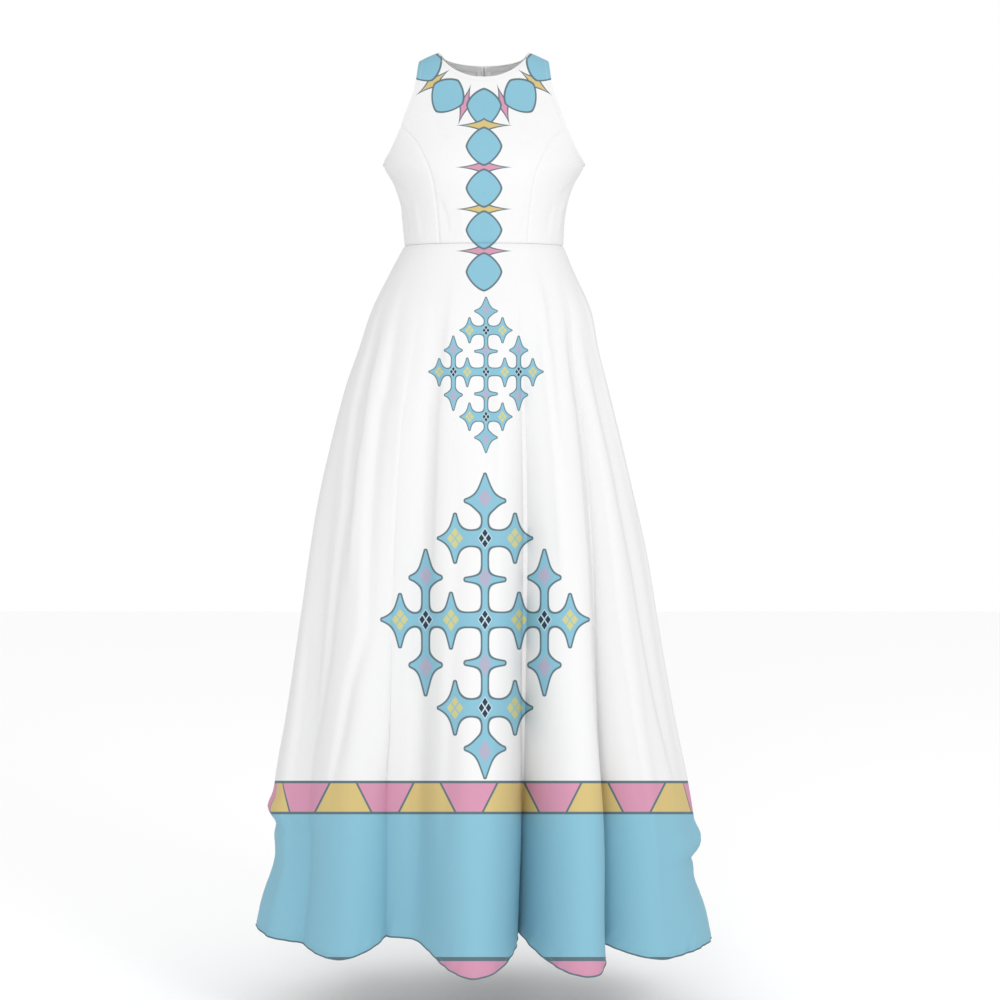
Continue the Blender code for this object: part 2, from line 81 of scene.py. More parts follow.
# Bodice sections: height, half width, depth in front of the side seams, depth behind them.
BODICE_SECTIONS = [
    (0.0000, 0.1700, 0.0000, 0.0000),
    (-0.0030, 0.1700, 0.0190, 0.0190),
    (-0.0120, 0.1700, 0.0360, 0.0400),
    (-0.0280, 0.1700, 0.0500, 0.0600),
    (-0.0480, 0.1690, 0.0610, 0.0740),
    (-0.0750, 0.1670, 0.0740, 0.0880),
    (-0.1100, 0.1640, 0.0920, 0.1010),
    (-0.1450, 0.1610, 0.1070, 0.1070),
    (-0.1800, 0.1580, 0.1160, 0.1050),
    (-0.2080, 0.1430, 0.1170, 0.0990),
    (-0.2400, 0.1325, 0.1120, 0.0900),
    (-0.2720, 0.1280, 0.1050, 0.0830),
    (WAIST_Z, 0.1265, 0.1000, 0.0800),
]
CUP_DEPTH = 0.004
CUP_X, CUP_Z = 0.078, -0.195
CUP_WIDTH, CUP_HEIGHT = 0.055, 0.060
SHOULDER_SLOPE = 0.62
SHOULDER_SOFTNESS = 0.030
SHOULDER_FADE = 0.120
LEVEL_ROUNDS = 12

# Edges and seams of the bodice, as x and z seen from the front.
NECK_POINT = (0.0720, 0.0000)
SHOULDER_POINT = (0.1008, -0.0126)
NECK_FRONT = [
    (0.0000, -0.0455),
    (0.0160, -0.0443),
    (0.0311, -0.0400),
    (0.0466, -0.0323),
    (0.0578, -0.0233),
    (0.0671, -0.0117),
    NECK_POINT,
]
NECK_BACK = [(0.0000, -0.0140), (0.0250, -0.0130), (0.0500, -0.0095), (0.0640, -0.0050), NECK_POINT]
CURVED_SEAM_TOP = (0.1285, -0.1225)
CURVED_SEAM = [
    (0.0690, WAIST_Z),
    (0.0730, -0.2500),
    (0.0785, -0.2120),
    (0.0870, -0.1840),
    (0.0980, -0.1600),
    (0.1120, -0.1390),
    CURVED_SEAM_TOP,
]
ARMHOLE_FRONT_TOP = [
    CURVED_SEAM_TOP,
    (0.1225, -0.1040),
    (0.1155, -0.0850),
    (0.1085, -0.0650),
    (0.1045, -0.0400),
    SHOULDER_POINT,
]
ARMHOLE_FRONT_LOW = [CURVED_SEAM_TOP, (0.1390, -0.1450), (0.1505, -0.1650)]
ARMHOLE_BACK = [
    (0.1480, -0.1620),
    (0.1340, -0.1370),
    (0.1225, -0.1060),
    (0.1140, -0.0750),
    (0.1080, -0.0430),
    SHOULDER_POINT,
]
ARMHOLE_FOOT_Z = -0.1800
# Where an edge changes from one seam or opening to the next, as a share of it.
ARMHOLE_SHARE = 9 / 15
FRONT_SHOULDER_SHARE = 2 / 7
BACK_SHOULDER_SHARE = 2 / 8

# Skirt sections: height, reach to the -X side, reach to the +X side, depth in front, depth behind.
SKIRT_SECTIONS = [
    (WAIST_Z, 0.1265, 0.1265, 0.1000, 0.0800),
    (-0.3450, 0.1480, 0.1430, 0.1130, 0.1020),
    (-0.4050, 0.1780, 0.1700, 0.1330, 0.1310),
    (-0.4700, 0.2000, 0.1830, 0.1500, 0.1500),
    (-0.5330, 0.2220, 0.1990, 0.1630, 0.1660),
    (-0.6600, 0.2540, 0.2300, 0.1860, 0.1940),
    (-0.7900, 0.2780, 0.2580, 0.2060, 0.2190),
    (-0.9200, 0.2980, 0.2800, 0.2240, 0.2410),
    (-1.0500, 0.3180, 0.3040, 0.2410, 0.2620),
    (-1.1500, 0.3360, 0.3250, 0.2520, 0.2760),
    (-1.2500, 0.3480, 0.3420, 0.2620, 0.2880),
    (-1.3400, 0.3600, 0.3540, 0.2700, 0.2980),
    (HEM_Z, 0.3715, 0.3665, 0.2770, 0.3050),
]
HIP_Z = -0.40
# Side buckles: side, height, reach outwards, half height of the buckle.
SIDE_BUCKLES = [
    (-1, -1.202, 0.008, 0.016),
    (-1, -1.230, -0.006, 0.012),
    (-1, -1.285, -0.014, 0.050),
    (1, -1.250, 0.009, 0.018),
    (1, -1.278, -0.008, 0.011),
    (1, -1.310, -0.012, 0.040),
]
# Skirt folds: bearing at the hip, bearing at the hem, inset from the section, lift of the hem, height it
# starts at, and how soon the flank after it rounds out from its valley.
SKIRT_FOLDS = [
    (-90, -90.0, 0.000, 0.014, -0.50, 0.90),
    (-77, -76.0, 0.014, 0.012, -0.55, 0.90),
    (-66, -61.0, 0.060, 0.008, -0.50, 0.50),
    (-47, -42.0, 0.048, 0.001, -0.42, 0.32),
    (-33, -30.0, 0.104, 0.032, -0.40, 0.70),
    (-25, -21.5, 0.100, 0.032, -0.40, 0.95),
    (-6, -2.0, 0.000, -0.001, -0.36, 0.30),
    (20, 10.3, 0.140, 0.040, -0.34, 0.42),
    (37, 26.0, 0.000, -0.004, -0.34, 0.42),
    (51, 36.5, 0.100, 0.024, -0.36, 0.40),
    (62, 53.0, 0.016, 0.000, -0.40, 0.70),
    (74, 70.0, 0.004, 0.002, -0.50, 0.70),
    (90, 90.0, 0.000, -0.006, -0.50, 0.68),
    (104, 103.0, 0.072, 0.014, -0.46, 0.68),
    (116, 118.0, 0.008, 0.000, -0.44, 0.68),
    (129, 131.0, 0.094, 0.018, -0.44, 0.68),
    (143, 144.0, 0.000, 0.000, -0.44, 0.68),
    (155, 157.0, 0.082, 0.014, -0.46, 0.68),
    (168, 169.0, 0.012, 0.004, -0.50, 0.68),
    (180, 180.0, 0.052, 0.010, -0.52, 0.68),
    (193, 194.0, 0.006, 0.000, -0.50, 0.68),
    (206, 205.0, 0.088, 0.018, -0.46, 0.68),
    (219, 218.0, 0.000, 0.000, -0.44, 0.68),
    (232, 231.0, 0.078, 0.014, -0.44, 0.68),
    (245, 244.0, 0.010, 0.002, -0.46, 0.68),
    (257, 257.0, 0.064, 0.016, -0.50, 0.68),
    (270, 270.0, 0.000, 0.014, -0.50, 0.68),
]
# Folds deepen by this power of the way down, and go on a little under the hem's own height.
FOLD_GROWTH, FOLD_GROWN = 1.2, 1.1
# How closely the buckles keep to the sides
BUCKLE_SHARPNESS = 12

# Studio. The lights, by place, size and power in watts, both point at the middle of the dress.
STUDIO_WHITE = (1.0, 1.0, 1.0, 1.0)
FLOOR_GAP, FLOOR_REACH, FLOOR_PAINT = 0.12, 6.0, (0.95, 0.95, 0.95)
LIGHTS = {
    "key": ((2.2, -3.0, 0.8), 1.4, 31),
    "front": ((-0.5, -3.9, -0.1), 1.2, 38),
}
LIT_MIDDLE = (0.0, 0.0, -0.75)
CAMERA_PLACE = (0.0256, -3.6, -0.5)
CAMERA_TILT = math.radians(3.33)
LENS, SENSOR, IMAGE = 81.0, 36.0, 1000.0
FOCAL_PIXELS = LENS / SENSOR * IMAGE
# The print lies straight as the camera sees it: its middle column, and metres of print to a pixel.
PRINT_COLUMN = 484.0
PRINT_SCALE = 0.0016


def smooth_table(keys, rows):
    """A function that reads a table of rows smoothly between its keys, which rise."""
    keys, rows = np.array(keys, float), np.array(rows, float)
    order = np.arange(len(keys))
    low, high = np.maximum(order - 1, 0), np.minimum(order + 1, len(keys) - 1)
    slopes = (rows[high] - rows[low]) / (keys[high] - keys[low])[:, None]

    def read(key):
        key = np.asarray(key, float)
        i = np.clip(np.searchsorted(keys, key, side="right") - 1, 0, len(keys) - 2)
        span = (keys[i + 1] - keys[i])[..., None]
        t = np.clip((key - keys[i])[..., None] / span, 0.0, 1.0)
        ease = rows[i] * (1 + 2 * t) * (1 - t) ** 2 + rows[i + 1] * t * t * (3 - 2 * t)
        lean = slopes[i] * t * (1 - t) ** 2 + slopes[i + 1] * t * t * (t - 1)
        return ease + lean * span

    return read


def smooth_step(t):
    t = np.clip(t, 0.0, 1.0)
    return t * t * (3 - 2 * t)


def chord_lengths(points):
    steps = np.linalg.norm(np.diff(np.array(points, float), axis=0), axis=1)
    return np.concatenate([[0.0], np.cumsum(steps)])


def round_section(bearing):
    s, c = np.sin(bearing), np.cos(bearing)
    rho = (abs(s) ** ROUNDNESS + abs(c) ** ROUNDNESS) ** (1 / ROUNDNESS)
    return s / rho, c / rho


DOWN = chord_lengths([(row[0], row[2]) for row in BODICE_SECTIONS])
bodice_section = smooth_table(DOWN, BODICE_SECTIONS)
DOWN_STEPS = np.linspace(0, DOWN[-1], 4001)
HEIGHT_STEPS = bodice_section(DOWN_STEPS)[:, 0]


def shoulder_drop(x, z):
    """How much lower the cloth lies at x than it would under a level shoulder."""

    def rise(at):
        away = at - NECK_POINT[0]
        return (np.hypot(away, SHOULDER_SOFTNESS) + away) / 2

    return SHOULDER_SLOPE * smooth_step(1 + z / SHOULDER_FADE) * (rise(abs(x)) - rise(NECK_POINT[0]))


def bodice_point(bearing, down):
    z, half, front, back = np.moveaxis(bodice_section(down), -1, 0)
    across, forward = round_section(bearing)
    x = half * across
    bulge = np.exp(-(((abs(x) - CUP_X) / CUP_WIDTH) ** 2) - ((z - CUP_Z) / CUP_HEIGHT) ** 2)
    front = front + CUP_DEPTH * bulge * smooth_step(-z / SHOULDER_FADE)
    depth = np.where(forward > 0, front, back)
    return np.stack([x, -depth * forward, z - shoulder_drop(x, z)], axis=-1)


def down_at(z):
    return np.interp(-np.asarray(z, float), -HEIGHT_STEPS, DOWN_STEPS)


def on_bodice(x, z):
    """Bearing and distance down of places of the front that are seen at x and z."""
    x, z = np.asarray(x, float), np.asarray(z, float)
    level = z
    # The drop depends on the height that it lowers, so the height is found in rounds.
    for _ in range(LEVEL_ROUNDS):
        level = np.minimum(z + shoulder_drop(x, level), 0.0)
    down = down_at(level)
    across = np.minimum(abs(x) / bodice_section(down)[..., 1], 1.0)
    forward = (1 - across**ROUNDNESS) ** (1 / ROUNDNESS)
    return np.stack([np.copysign(np.arctan2(across, forward), x), down], axis=-1)


def smooth_line(places):
    places = np.array(places, float)
    along = chord_lengths(bodice_point(places[:, 0], places[:, 1]))
    read = smooth_table(along, places)
    return lambda share: read(np.asarray(share) * along[-1])


def mapped(points):
    return smooth_line(on_bodice(*np.array(points).T))


def mirrored_to_back(points):
    return smooth_line(on_bodice(*np.array(points).T) * (-1, 1) + (BACK, 0))


def joined(first, second, share):
    def read(t):
        t = np.asarray(t, float)
        whole = np.where(t < share, 1.0, 0.0)[..., None]
        return whole * first(np.minimum(t / share, 1.0)) + (1 - whole) * second(
            np.maximum((t - share) / (1 - share), 0.0)
        )

    return read


def straight(start, end):
    start, end = np.array(start, float), np.array(end, float)
    return lambda share: start + (end - start) * np.asarray(share, float)[..., None]


def turned(edge):
    return lambda share: edge(1 - np.asarray(share, float))


def patch(low, high, left, right):
    """A panel filled in between its four edges. The sides run upwards, the other two from left to right."""
    corners = low(0.0), low(1.0), high(0.0), high(1.0)

    def at(s, t):
        s, t = (np.asarray(share, float)[..., None] for share in (s, t))
        along, upwards = s[..., 0], t[..., 0]
        edges = (1 - t) * low(along) + t * high(along) + (1 - s) * left(upwards) + s * right(upwards)
        shares = (1 - s) * (1 - t), s * (1 - t), (1 - s) * t, s * t
        return edges - sum(share * corner for share, corner in zip(shares, corners))

    return at


def flipped(at):
    return lambda s, t: at(1 - s, t) * (-1, 1)


def front_outline():
    seam, armhole = mapped(CURVED_SEAM), mapped(ARMHOLE_FRONT_TOP)
    neck, shoulder = mapped(NECK_FRONT), mapped([NECK_POINT, SHOULDER_POINT])
    side = joined(seam, armhole, ARMHOLE_SHARE)
    top = joined(neck, shoulder, 1 - FRONT_SHOULDER_SHARE)
    half = patch(straight((0.0, DOWN[-1]), seam(0)), top, straight((0.0, DOWN[-1]), neck(0)), side)

    def whole(s, t):
        places = half(abs(2 * s - 1), t)
        return np.stack([np.copysign(places[..., 0], s - 0.5), places[..., 1]], axis=-1)

    return whole


def side_front_outline():
    seam, foot = mapped(CURVED_SEAM), (SIDE, down_at(ARMHOLE_FOOT_Z))
    low_armhole = on_bodice(*np.array(ARMHOLE_FRONT_LOW).T)
    armhole = smooth_line(np.vstack([low_armhole, foot]))
    corner = (SIDE, DOWN[-1])
    return patch(straight(seam(0), corner), armhole, seam, straight(corner, foot))


def back_outline():
    foot, corner = (SIDE, down_at(ARMHOLE_FOOT_Z)), (SIDE, DOWN[-1])
    armhole = on_bodice(*np.array(ARMHOLE_BACK).T) * (-1, 1) + (BACK, 0)
    side = joined(straight(corner, foot), smooth_line(np.vstack([foot, armhole])), ARMHOLE_SHARE)
    neck, shoulder = mirrored_to_back(NECK_BACK), mirrored_to_back([NECK_POINT, SHOULDER_POINT])
    top = joined(turned(shoulder), turned(neck), BACK_SHOULDER_SHARE)
    return patch(straight(corner, (BACK, DOWN[-1])), top, side, straight((BACK, DOWN[-1]), neck(0)))


skirt_section = smooth_table([-row[0] for row in SKIRT_SECTIONS], [row[1:] for row in SKIRT_SECTIONS])
HIP_BEARING, HEM_BEARING, INSET, LIFT, START_Z, BREADTH = np.array(SKIRT_FOLDS).T


def fold_state(flank, z):
    """Bearing, inset and hem lift, read between a crest and its valley."""
    flank = np.asarray(flank, float) % (len(SKIRT_FOLDS) - 1)
    i = flank.astype(int)
    t = flank - i

    def end(k):
        fallen = np.clip((z - HIP_Z) / (HEM_Z - HIP_Z), 0.0, 1.0)
        grown = np.clip((z - START_Z[k]) / (HEM_Z - START_Z[k]), 0.0, FOLD_GROWN) ** FOLD_GROWTH
        bearing = HIP_BEARING[k] + (HEM_BEARING - HIP_BEARING)[k] * fallen
        return np.radians(bearing), INSET[k] * grown, LIFT[k]

    a, b = end(i), end(i + 1)
    rising = INSET[i] > INSET[i + 1]
    to_crest = ((1 - np.cos(math.pi * np.where(rising, t, 1 - t))) / 2) ** BREADTH[i]

    def between(k):
        valley, crest = np.where(rising, a[k], b[k]), np.where(rising, b[k], a[k])
        return valley + (crest - valley) * to_crest

    return a[0] + (b[0] - a[0]) * t, between(1), between(2)


def skirt_place(flank, fall):
    """Points of the skirt and their bearings.

    flank counts the flanks of the folds round from the -X side seam. fall is the share of the way down.
    """
    flank, fall = np.broadcast_arrays(flank, fall)
    z = WAIST_Z + fall * (HEM_Z + fold_state(flank, HEM_Z)[2] - WAIST_Z)
    bearing, inset, _ = fold_state(flank, z)
    right, left, front, back = np.moveaxis(skirt_section(-z), -1, 0)
    across, forward = round_section(bearing)
    half, depth = np.where(across > 0, left, right), np.where(forward > 0, front, back)
    for side, at, reach, height in SIDE_BUCKLES:
        towards = np.maximum(side * across, 0.0) ** BUCKLE_SHARPNESS
        half = half + reach * np.exp(-(((z - at) / height) ** 2)) * towards
    outwards = np.stack(
        [
            np.copysign(abs(across) ** (ROUNDNESS - 1), across) / half,
            -np.copysign(abs(forward) ** (ROUNDNESS - 1), forward) / depth,
            np.zeros_like(z),
        ],
        axis=-1,
    )
    outwards /= np.linalg.norm(outwards, axis=-1, keepdims=True)
    point = np.stack([half * across, -depth * forward, z], axis=-1) - outwards * inset[..., None]
    return point, bearing


# Soft creases that lie over the main folds: breadth, how far each stands out (or in, where negative),
# and the bearings and heights that it runs through.
SKIRT_CREASES = [
    (0.013, -0.0050, (-64, -0.34), (-60, -0.55), (-55, -0.72), (-58, -0.95), (-64, -1.14)),
    (0.013, -0.0062, (-48, -0.33), (-44, -0.55), (-42, -0.70), (-39, -0.90), (-44, -0.98), (-52, -1.24)),
    (0.012, 0.0034, (-54, -0.40), (-50, -0.62), (-48, -0.86)),
    (0.016, -0.0060, (-25, -0.34), (-22, -0.55), (-21, -0.95), (-19, -1.36)),
    (0.015, 0.0036, (-34, -0.46), (-31, -0.80), (-32, -1.20)),
    (0.016, -0.0044, (-8, -0.62), (-9, -0.95), (-11, -1.28)),
    (0.012, 0.0030, (-15, -0.32), (-16, -0.60), (-15, -0.90)),
    (0.010, -0.0030, (-2, -0.32), (0, -0.48), (3, -0.70)),
    (0.022, -0.0034, (22, -0.32), (20, -0.55), (17, -0.72), (12, -0.98), (10, -1.22)),
    (0.014, 0.0040, (8, -0.34), (7, -0.62), (3, -0.98), (1, -1.30)),
    (0.012, 0.0032, (31, -0.33), (30, -0.55), (27, -0.88)),
    (0.010, -0.0028, (38, -0.32), (36, -0.46), (33, -0.64)),
    (0.013, -0.0056, (50, -0.34), (47, -0.55), (42, -0.76), (37, -1.00), (36, -1.24)),
    (0.015, 0.0038, (56, -0.50), (52, -0.86), (52, -1.32)),
    (0.016, -0.0064, (60, -0.40), (62, -0.70), (65, -1.00), (69, -1.22)),
    (0.012, 0.0030, (69, -0.33), (72, -0.52), (75, -0.78)),
    (0.018, 0.0040, (79, -0.64), (78, -1.00), (79, -1.36)),
    (0.018, 0.0042, (-80, -0.56), (-79, -0.96), (-78, -1.34)),
    (0.016, -0.0036, (-72, -0.86), (-70, -1.14), (-69, -1.38)),
    (0.012, -0.0034, (98, -0.31), (96, -0.48), (95, -0.66)),
    (0.012, 0.0036, (112, -0.31), (114, -0.50), (113, -0.72)),
    (0.010, -0.0030, (126, -0.31), (127, -0.42), (125, -0.56)),
    (0.013, 0.0034, (139, -0.31), (141, -0.52), (140, -0.76)),
    (0.010, -0.0032, (151, -0.31), (152, -0.46), (150, -0.62)),
    (0.011, 0.0030, (164, -0.31), (166, -0.48), (165, -0.66)),
    (0.011, 0.0032, (197, -0.31), (194, -0.46), (195, -0.64)),
    (0.013, -0.0036, (210, -0.31), (207, -0.52), (209, -0.74)),
    (0.010, 0.0030, (223, -0.31), (222, -0.44), (220, -0.58)),
    (0.012, -0.0034, (236, -0.31), (236, -0.52), (234, -0.72)),
    (0.011, 0.0032, (250, -0.31), (251, -0.46), (250, -0.62)),
    (0.016, -0.0046, (110, -0.70), (112, -1.02), (110, -1.38)),
    (0.016, 0.0044, (137, -0.78), (137, -1.08), (139, -1.36)),
    (0.015, -0.0040, (150, -0.64), (152, -0.96), (151, -1.30)),
    (0.016, 0.0040, (174, -0.76), (172, -1.08), (174, -1.38)),
    (0.014, -0.0036, (187, -0.86), (187, -1.10), (185, -1.34)),
    (0.016, -0.0042, (200, -0.68), (201, -1.00), (199, -1.34)),
    (0.015, 0.0040, (213, -0.84), (211, -1.12), (212, -1.38)),
    (0.016, -0.0044, (239, -0.70), (237, -1.02), (238, -1.36)),
    (0.018, 0.0044, (262, -0.64), (263, -1.00), (262, -1.38)),
]
BODICE_CREASES = [
    (0.006, -0.0012, (-24, -0.296), (-26, -0.266), (-30, -0.232)),
    (0.006, 0.0010, (-14, -0.298), (-15, -0.246)),
    (0.006, -0.0012, (12, -0.298), (13, -0.270), (16, -0.240)),
    (0.006, 0.0010, (23, -0.297), (27, -0.236)),
    (0.007, -0.0013, (50, -0.296), (51, -0.268), (55, -0.238)),
    (0.008, 0.0013, (66, -0.295), (70, -0.226)),
    (0.007, 0.0012, (-50, -0.296), (-53, -0.236)),
    (0.008, -0.0014, (-67, -0.295), (-68, -0.262), (-72, -0.228)),
    (0.008, 0.0012, (-84, -0.292), (-82, -0.246)),
    (0.008, -0.0012, (84, -0.292), (82, -0.240)),
    (0.007, -0.0013, (-84, -0.205), (-70, -0.214), (-58, -0.232)),
    (0.007, 0.0011, (-84, -0.222), (-60, -0.252)),
    (0.007, -0.0013, (84, -0.204), (71, -0.212), (58, -0.230)),
    (0.007, 0.0011, (83, -0.226), (60, -0.256)),
    (0.008, -0.0010, (-30, -0.100), (-25, -0.130), (-20, -0.150)),
    (0.008, -0.0010, (31, -0.104), (26, -0.132), (22, -0.156)),
    (0.008, 0.0012, (104, -0.210), (116, -0.214), (128, -0.226)),
    (0.008, -0.0013, (102, -0.232), (116, -0.250), (130, -0.262)),
    (0.006, 0.0011, (118, -0.282), (150, -0.292)),
    (0.006, -0.0011, (206, -0.292), (240, -0.280)),
    (0.008, -0.0012, (232, -0.224), (245, -0.212), (258, -0.208)),
    (0.008, 0.0013, (230, -0.258), (244, -0.250), (256, -0.234)),
    (0.009, -0.0012, (160, -0.080), (138, -0.104)),
    (0.009, -0.0012, (200, -0.082), (222, -0.106)),
]
CREASE_FADE = 0.25
# A crease is crisp on its left and runs out softly to its right.
CRISP_SIDE, SOFT_SIDE = 0.62, 1.30
# Seams draw the cloth in, and pucker it a little.
SEAM_DIP, SEAM_REACH, SEAM_FADE = 0.0012, 0.0022, 0.02
PUCKER_DEPTH, PUCKER_REACH = 0.00028, 0.009
PUCKER_LENGTH, PUCKER_FACTORS = 0.011, (1, 1.7, 2.9)
# Cloth meets at a sharp edge where it turns by more than this.
CLOTH_CORNER = math.radians(50)
# The rolled hem waves a little.
RIPPLE_DEPTH, RIPPLE_REACH, RIPPLE_SWELL = 0.0009, 0.022, 0.190
RIPPLE_LENGTHS = (0.024, 0.037, 0.061)
# Each wave starts somewhere in its first turn, in radians.
WAVE_START = 6


def creased(points, normals, bearing, girth, mean_girth, creases):
    """Moves points along their normals by the creases. girth turns a bearing into a width at each point."""
    lift = np.zeros(points.shape[:2])
    on_back = bearing.max() > math.pi
    turn = np.where(bearing < 0, bearing + 2 * math.pi, bearing) if on_back else bearing
    z = points[..., 2]
    for breadth, depth, *path in creases:
        path = np.array(path, float) * (math.pi / 180, 1)
        if on_back and path[0, 0] < 0:
            path[:, 0] += 2 * math.pi
        knots = path * (mean_girth, 1)
        along = chord_lengths(knots)
        near, share, side = np.full_like(z, np.inf), np.zeros_like(z), np.zeros_like(z)
        for k, run in enumerate(np.diff(knots, axis=0)):
            away_x, away_z = (turn - path[k, 0]) * girth, z - path[k, 1]
            t = np.clip((away_x * run[0] + away_z * run[1]) / (run @ run), 0, 1)
            distance = np.hypot(away_x - t * run[0], away_z - t * run[1])
            closer = distance < near
            near = np.where(closer, distance, near)
            share = np.where(closer, (along[k] + t * (along[k + 1] - along[k])) / along[-1], share)
            side = np.where(closer, away_x * -run[1] + away_z * run[0], side)
        wide = breadth * np.where(side > 0, SOFT_SIDE, CRISP_SIDE)
        fade = smooth_step(share / CREASE_FADE) * smooth_step((1 - share) / CREASE_FADE)
        lift += depth * np.exp(-((near / wide) ** 2)) * fade
    return points + normals * lift[..., None]


def surface_normals(place, u, v, step=1e-4):
    """Outward directions of a surface whose v runs downwards. Panels that meet at a seam share them."""
    around = place(u + step, v) - place(u - step, v)
    falling = place(u, v + step) - place(u, v - step)
    normals = np.cross(falling, around)
    return normals / np.linalg.norm(normals, axis=-1, keepdims=True)


def grid_normals(points):
    """Outward directions of a grid of points whose rows run upwards and whose columns run left to right."""
    along = np.gradient(points, axis=1)
    upwards = np.gradient(points, axis=0)
    normals = np.cross(along, upwards)
    return normals / np.maximum(np.linalg.norm(normals, axis=-1, keepdims=True), 1e-12)


def from_edge(points, edge, across, upwards):
    """How far each point of a grid is from one of its edges, and its share of the way along that edge."""
    axis = 0 if edge in ("low", "high") else 1
    steps = np.linalg.norm(np.diff(points, axis=axis), axis=-1)
    along = np.concatenate([np.zeros_like(np.take(steps, [0], axis)), np.cumsum(steps, axis)], axis)
    if edge in ("high", "right"):
        along = np.take(along, [-1], axis) - along
    grid_s, grid_t = np.meshgrid(across, upwards)
    return along, grid_s if axis == 0 else grid_t


def sewn(points, normals, seams, across, upwards, seed):
    """Draws the cloth in along its seams. Each seam is an edge of the grid, and a share of it."""
    rng = np.random.default_rng(seed)
    lift = np.zeros(points.shape[:2])
    for edge, low, high in seams:
        distance, share = from_edge(points, edge, across, upwards)
        inside = smooth_step((share - low) / SEAM_FADE + 0.5) * smooth_step((high - share) / SEAM_FADE + 0.5)
        along = distance_along(points, edge)
        puckers = sum(
            np.sin(along / (PUCKER_LENGTH * factor) * 2 * math.pi + rng.uniform(0, WAVE_START))
            for factor in PUCKER_FACTORS
        )
        lift -= inside * SEAM_DIP * np.exp(-((distance / SEAM_REACH) ** 2))
        near = np.exp(-(((distance - SEAM_REACH) / PUCKER_REACH) ** 2)) * smooth_step(distance / SEAM_REACH)
        lift += inside * PUCKER_DEPTH * puckers / len(PUCKER_FACTORS) * near
    return points + normals * lift[..., None]


def distance_along(points, edge):
    """The distance of each point along the direction of an edge of its grid."""
    axis = 1 if edge in ("low", "high") else 0
    steps = np.linalg.norm(np.diff(points, axis=axis), axis=-1)
    return np.concatenate([np.zeros_like(np.take(steps, [0], axis)), np.cumsum(steps, axis)], axis)


def rippled(points, normals, across, upwards, seed):
    """Small uneven waves along the hem, which die out above it and towards the side seams."""
    rng = np.random.default_rng(seed)
    above, _ = from_edge(points, "low", across, upwards)
    along = distance_along(points, "low")
    to_seam = np.minimum(along, along[:, -1:] - along)
    wave = np.zeros_like(along)
    for wavelength in RIPPLE_LENGTHS:
        swell_length = RIPPLE_SWELL * rng.uniform(0.8, 1.2)
        swell = 0.5 + 0.5 * np.sin(2 * math.pi * along / swell_length + rng.uniform(0, WAVE_START))
        wave += swell * np.sin(2 * math.pi * along / wavelength + rng.uniform(0, WAVE_START))
    fade = np.exp(-above / RIPPLE_REACH) * smooth_step(to_seam / RIPPLE_REACH)
    return points + normals * (RIPPLE_DEPTH * wave * fade)[..., None]


def crowded(count, amount):
    """Shares from 0 to 1 that stand closer together near both ends."""
    t = np.linspace(0, 1, count + 1)
    return t - amount * np.sin(2 * math.pi * t) / (2 * math.pi)


# Up to the first bearing the print lies as the camera sees it, and from the second on by the width of cloth.
PRINT_FRONT, PRINT_TURN = math.radians(66), math.radians(84)
PRINT_STEPS = 241
BAND_PITCH = 0.1342
BAND_REPEATS = 14
MILLIMETRES = 1000.0


def seen(points):
    """Where the camera sees points, in metres of print from its middle column and the image's middle row.

    Points of the back are seen as if they lay in front.
    """
    points = points * (1, 0, 1) - abs(points) * (0, 1, 0) - np.array(CAMERA_PLACE)
    tilt_c, tilt_s = math.cos(CAMERA_TILT), math.sin(CAMERA_TILT)
    depth = points[..., 1] * tilt_c - points[..., 2] * tilt_s
    across = FOCAL_PIXELS * points[..., 0] / depth + IMAGE / 2 - PRINT_COLUMN
    upwards = FOCAL_PIXELS * (points[..., 1] * tilt_s + points[..., 2] * tilt_c) / depth
    return np.stack([across, upwards], axis=-1) * PRINT_SCALE


def print_places(points, bearing, section_at):
    """Where the print falls on points. section_at gives the smooth outline at a bearing and a height."""
    places = seen(points)
    turn = np.where(bearing > math.pi, bearing - 2 * math.pi, bearing)
    steps = np.linspace(0, math.pi, PRINT_STEPS)
    half_round = BAND_PITCH * BAND_REPEATS / 2
    spread_at = np.empty(turn.shape)
    for row, height in enumerate(points[:, points.shape[1] // 2, 2]):
        for side in (1, -1):
            outline = section_at(side * steps, np.full_like(steps, height))
            front, along = seen(outline)[:, 0] * side, chord_lengths(outline)
            start, at_turn = np.interp(PRINT_FRONT, steps, front), np.interp(PRINT_FRONT, steps, along)
            rate = (half_round - start) / (along[-1] - at_turn)
            whole = np.where(steps < PRINT_FRONT, front, start + (along - at_turn) * rate)
            own_side = turn[row] * side >= 0
            spread_at[row, own_side] = side * np.interp(abs(turn[row, own_side]), steps, whole)
    blend = smooth_step((abs(turn) - PRINT_FRONT) / (PRINT_TURN - PRINT_FRONT))
    places[..., 0] += (spread_at - places[..., 0]) * blend
    return places


def new_mesh(name, points, faces, finishes, face_finishes=None, places=None):
    """An object from points and faces, with its print places as a UV map."""
    mesh = bpy.data.meshes.new(name)
    mesh.from_pydata(np.asarray(points).tolist(), [], np.asarray(faces).tolist())
    for finish in finishes:
        mesh.materials.append(finish)
    if face_finishes is not None:
        mesh.polygons.foreach_set("material_index", np.asarray(face_finishes, np.int32))
    if places is not None:
        layer = mesh.uv_layers.new(name="print")
        corners = np.empty(len(mesh.loops), np.int32)
        mesh.loops.foreach_get("vertex_index", corners)
        layer.data.foreach_set("uv", np.asarray(places, np.float32)[corners].ravel())
    mesh.shade_smooth()
    mesh.update()
    made = bpy.data.objects.new(name, mesh)
    bpy.context.scene.collection.objects.link(made)
    return made


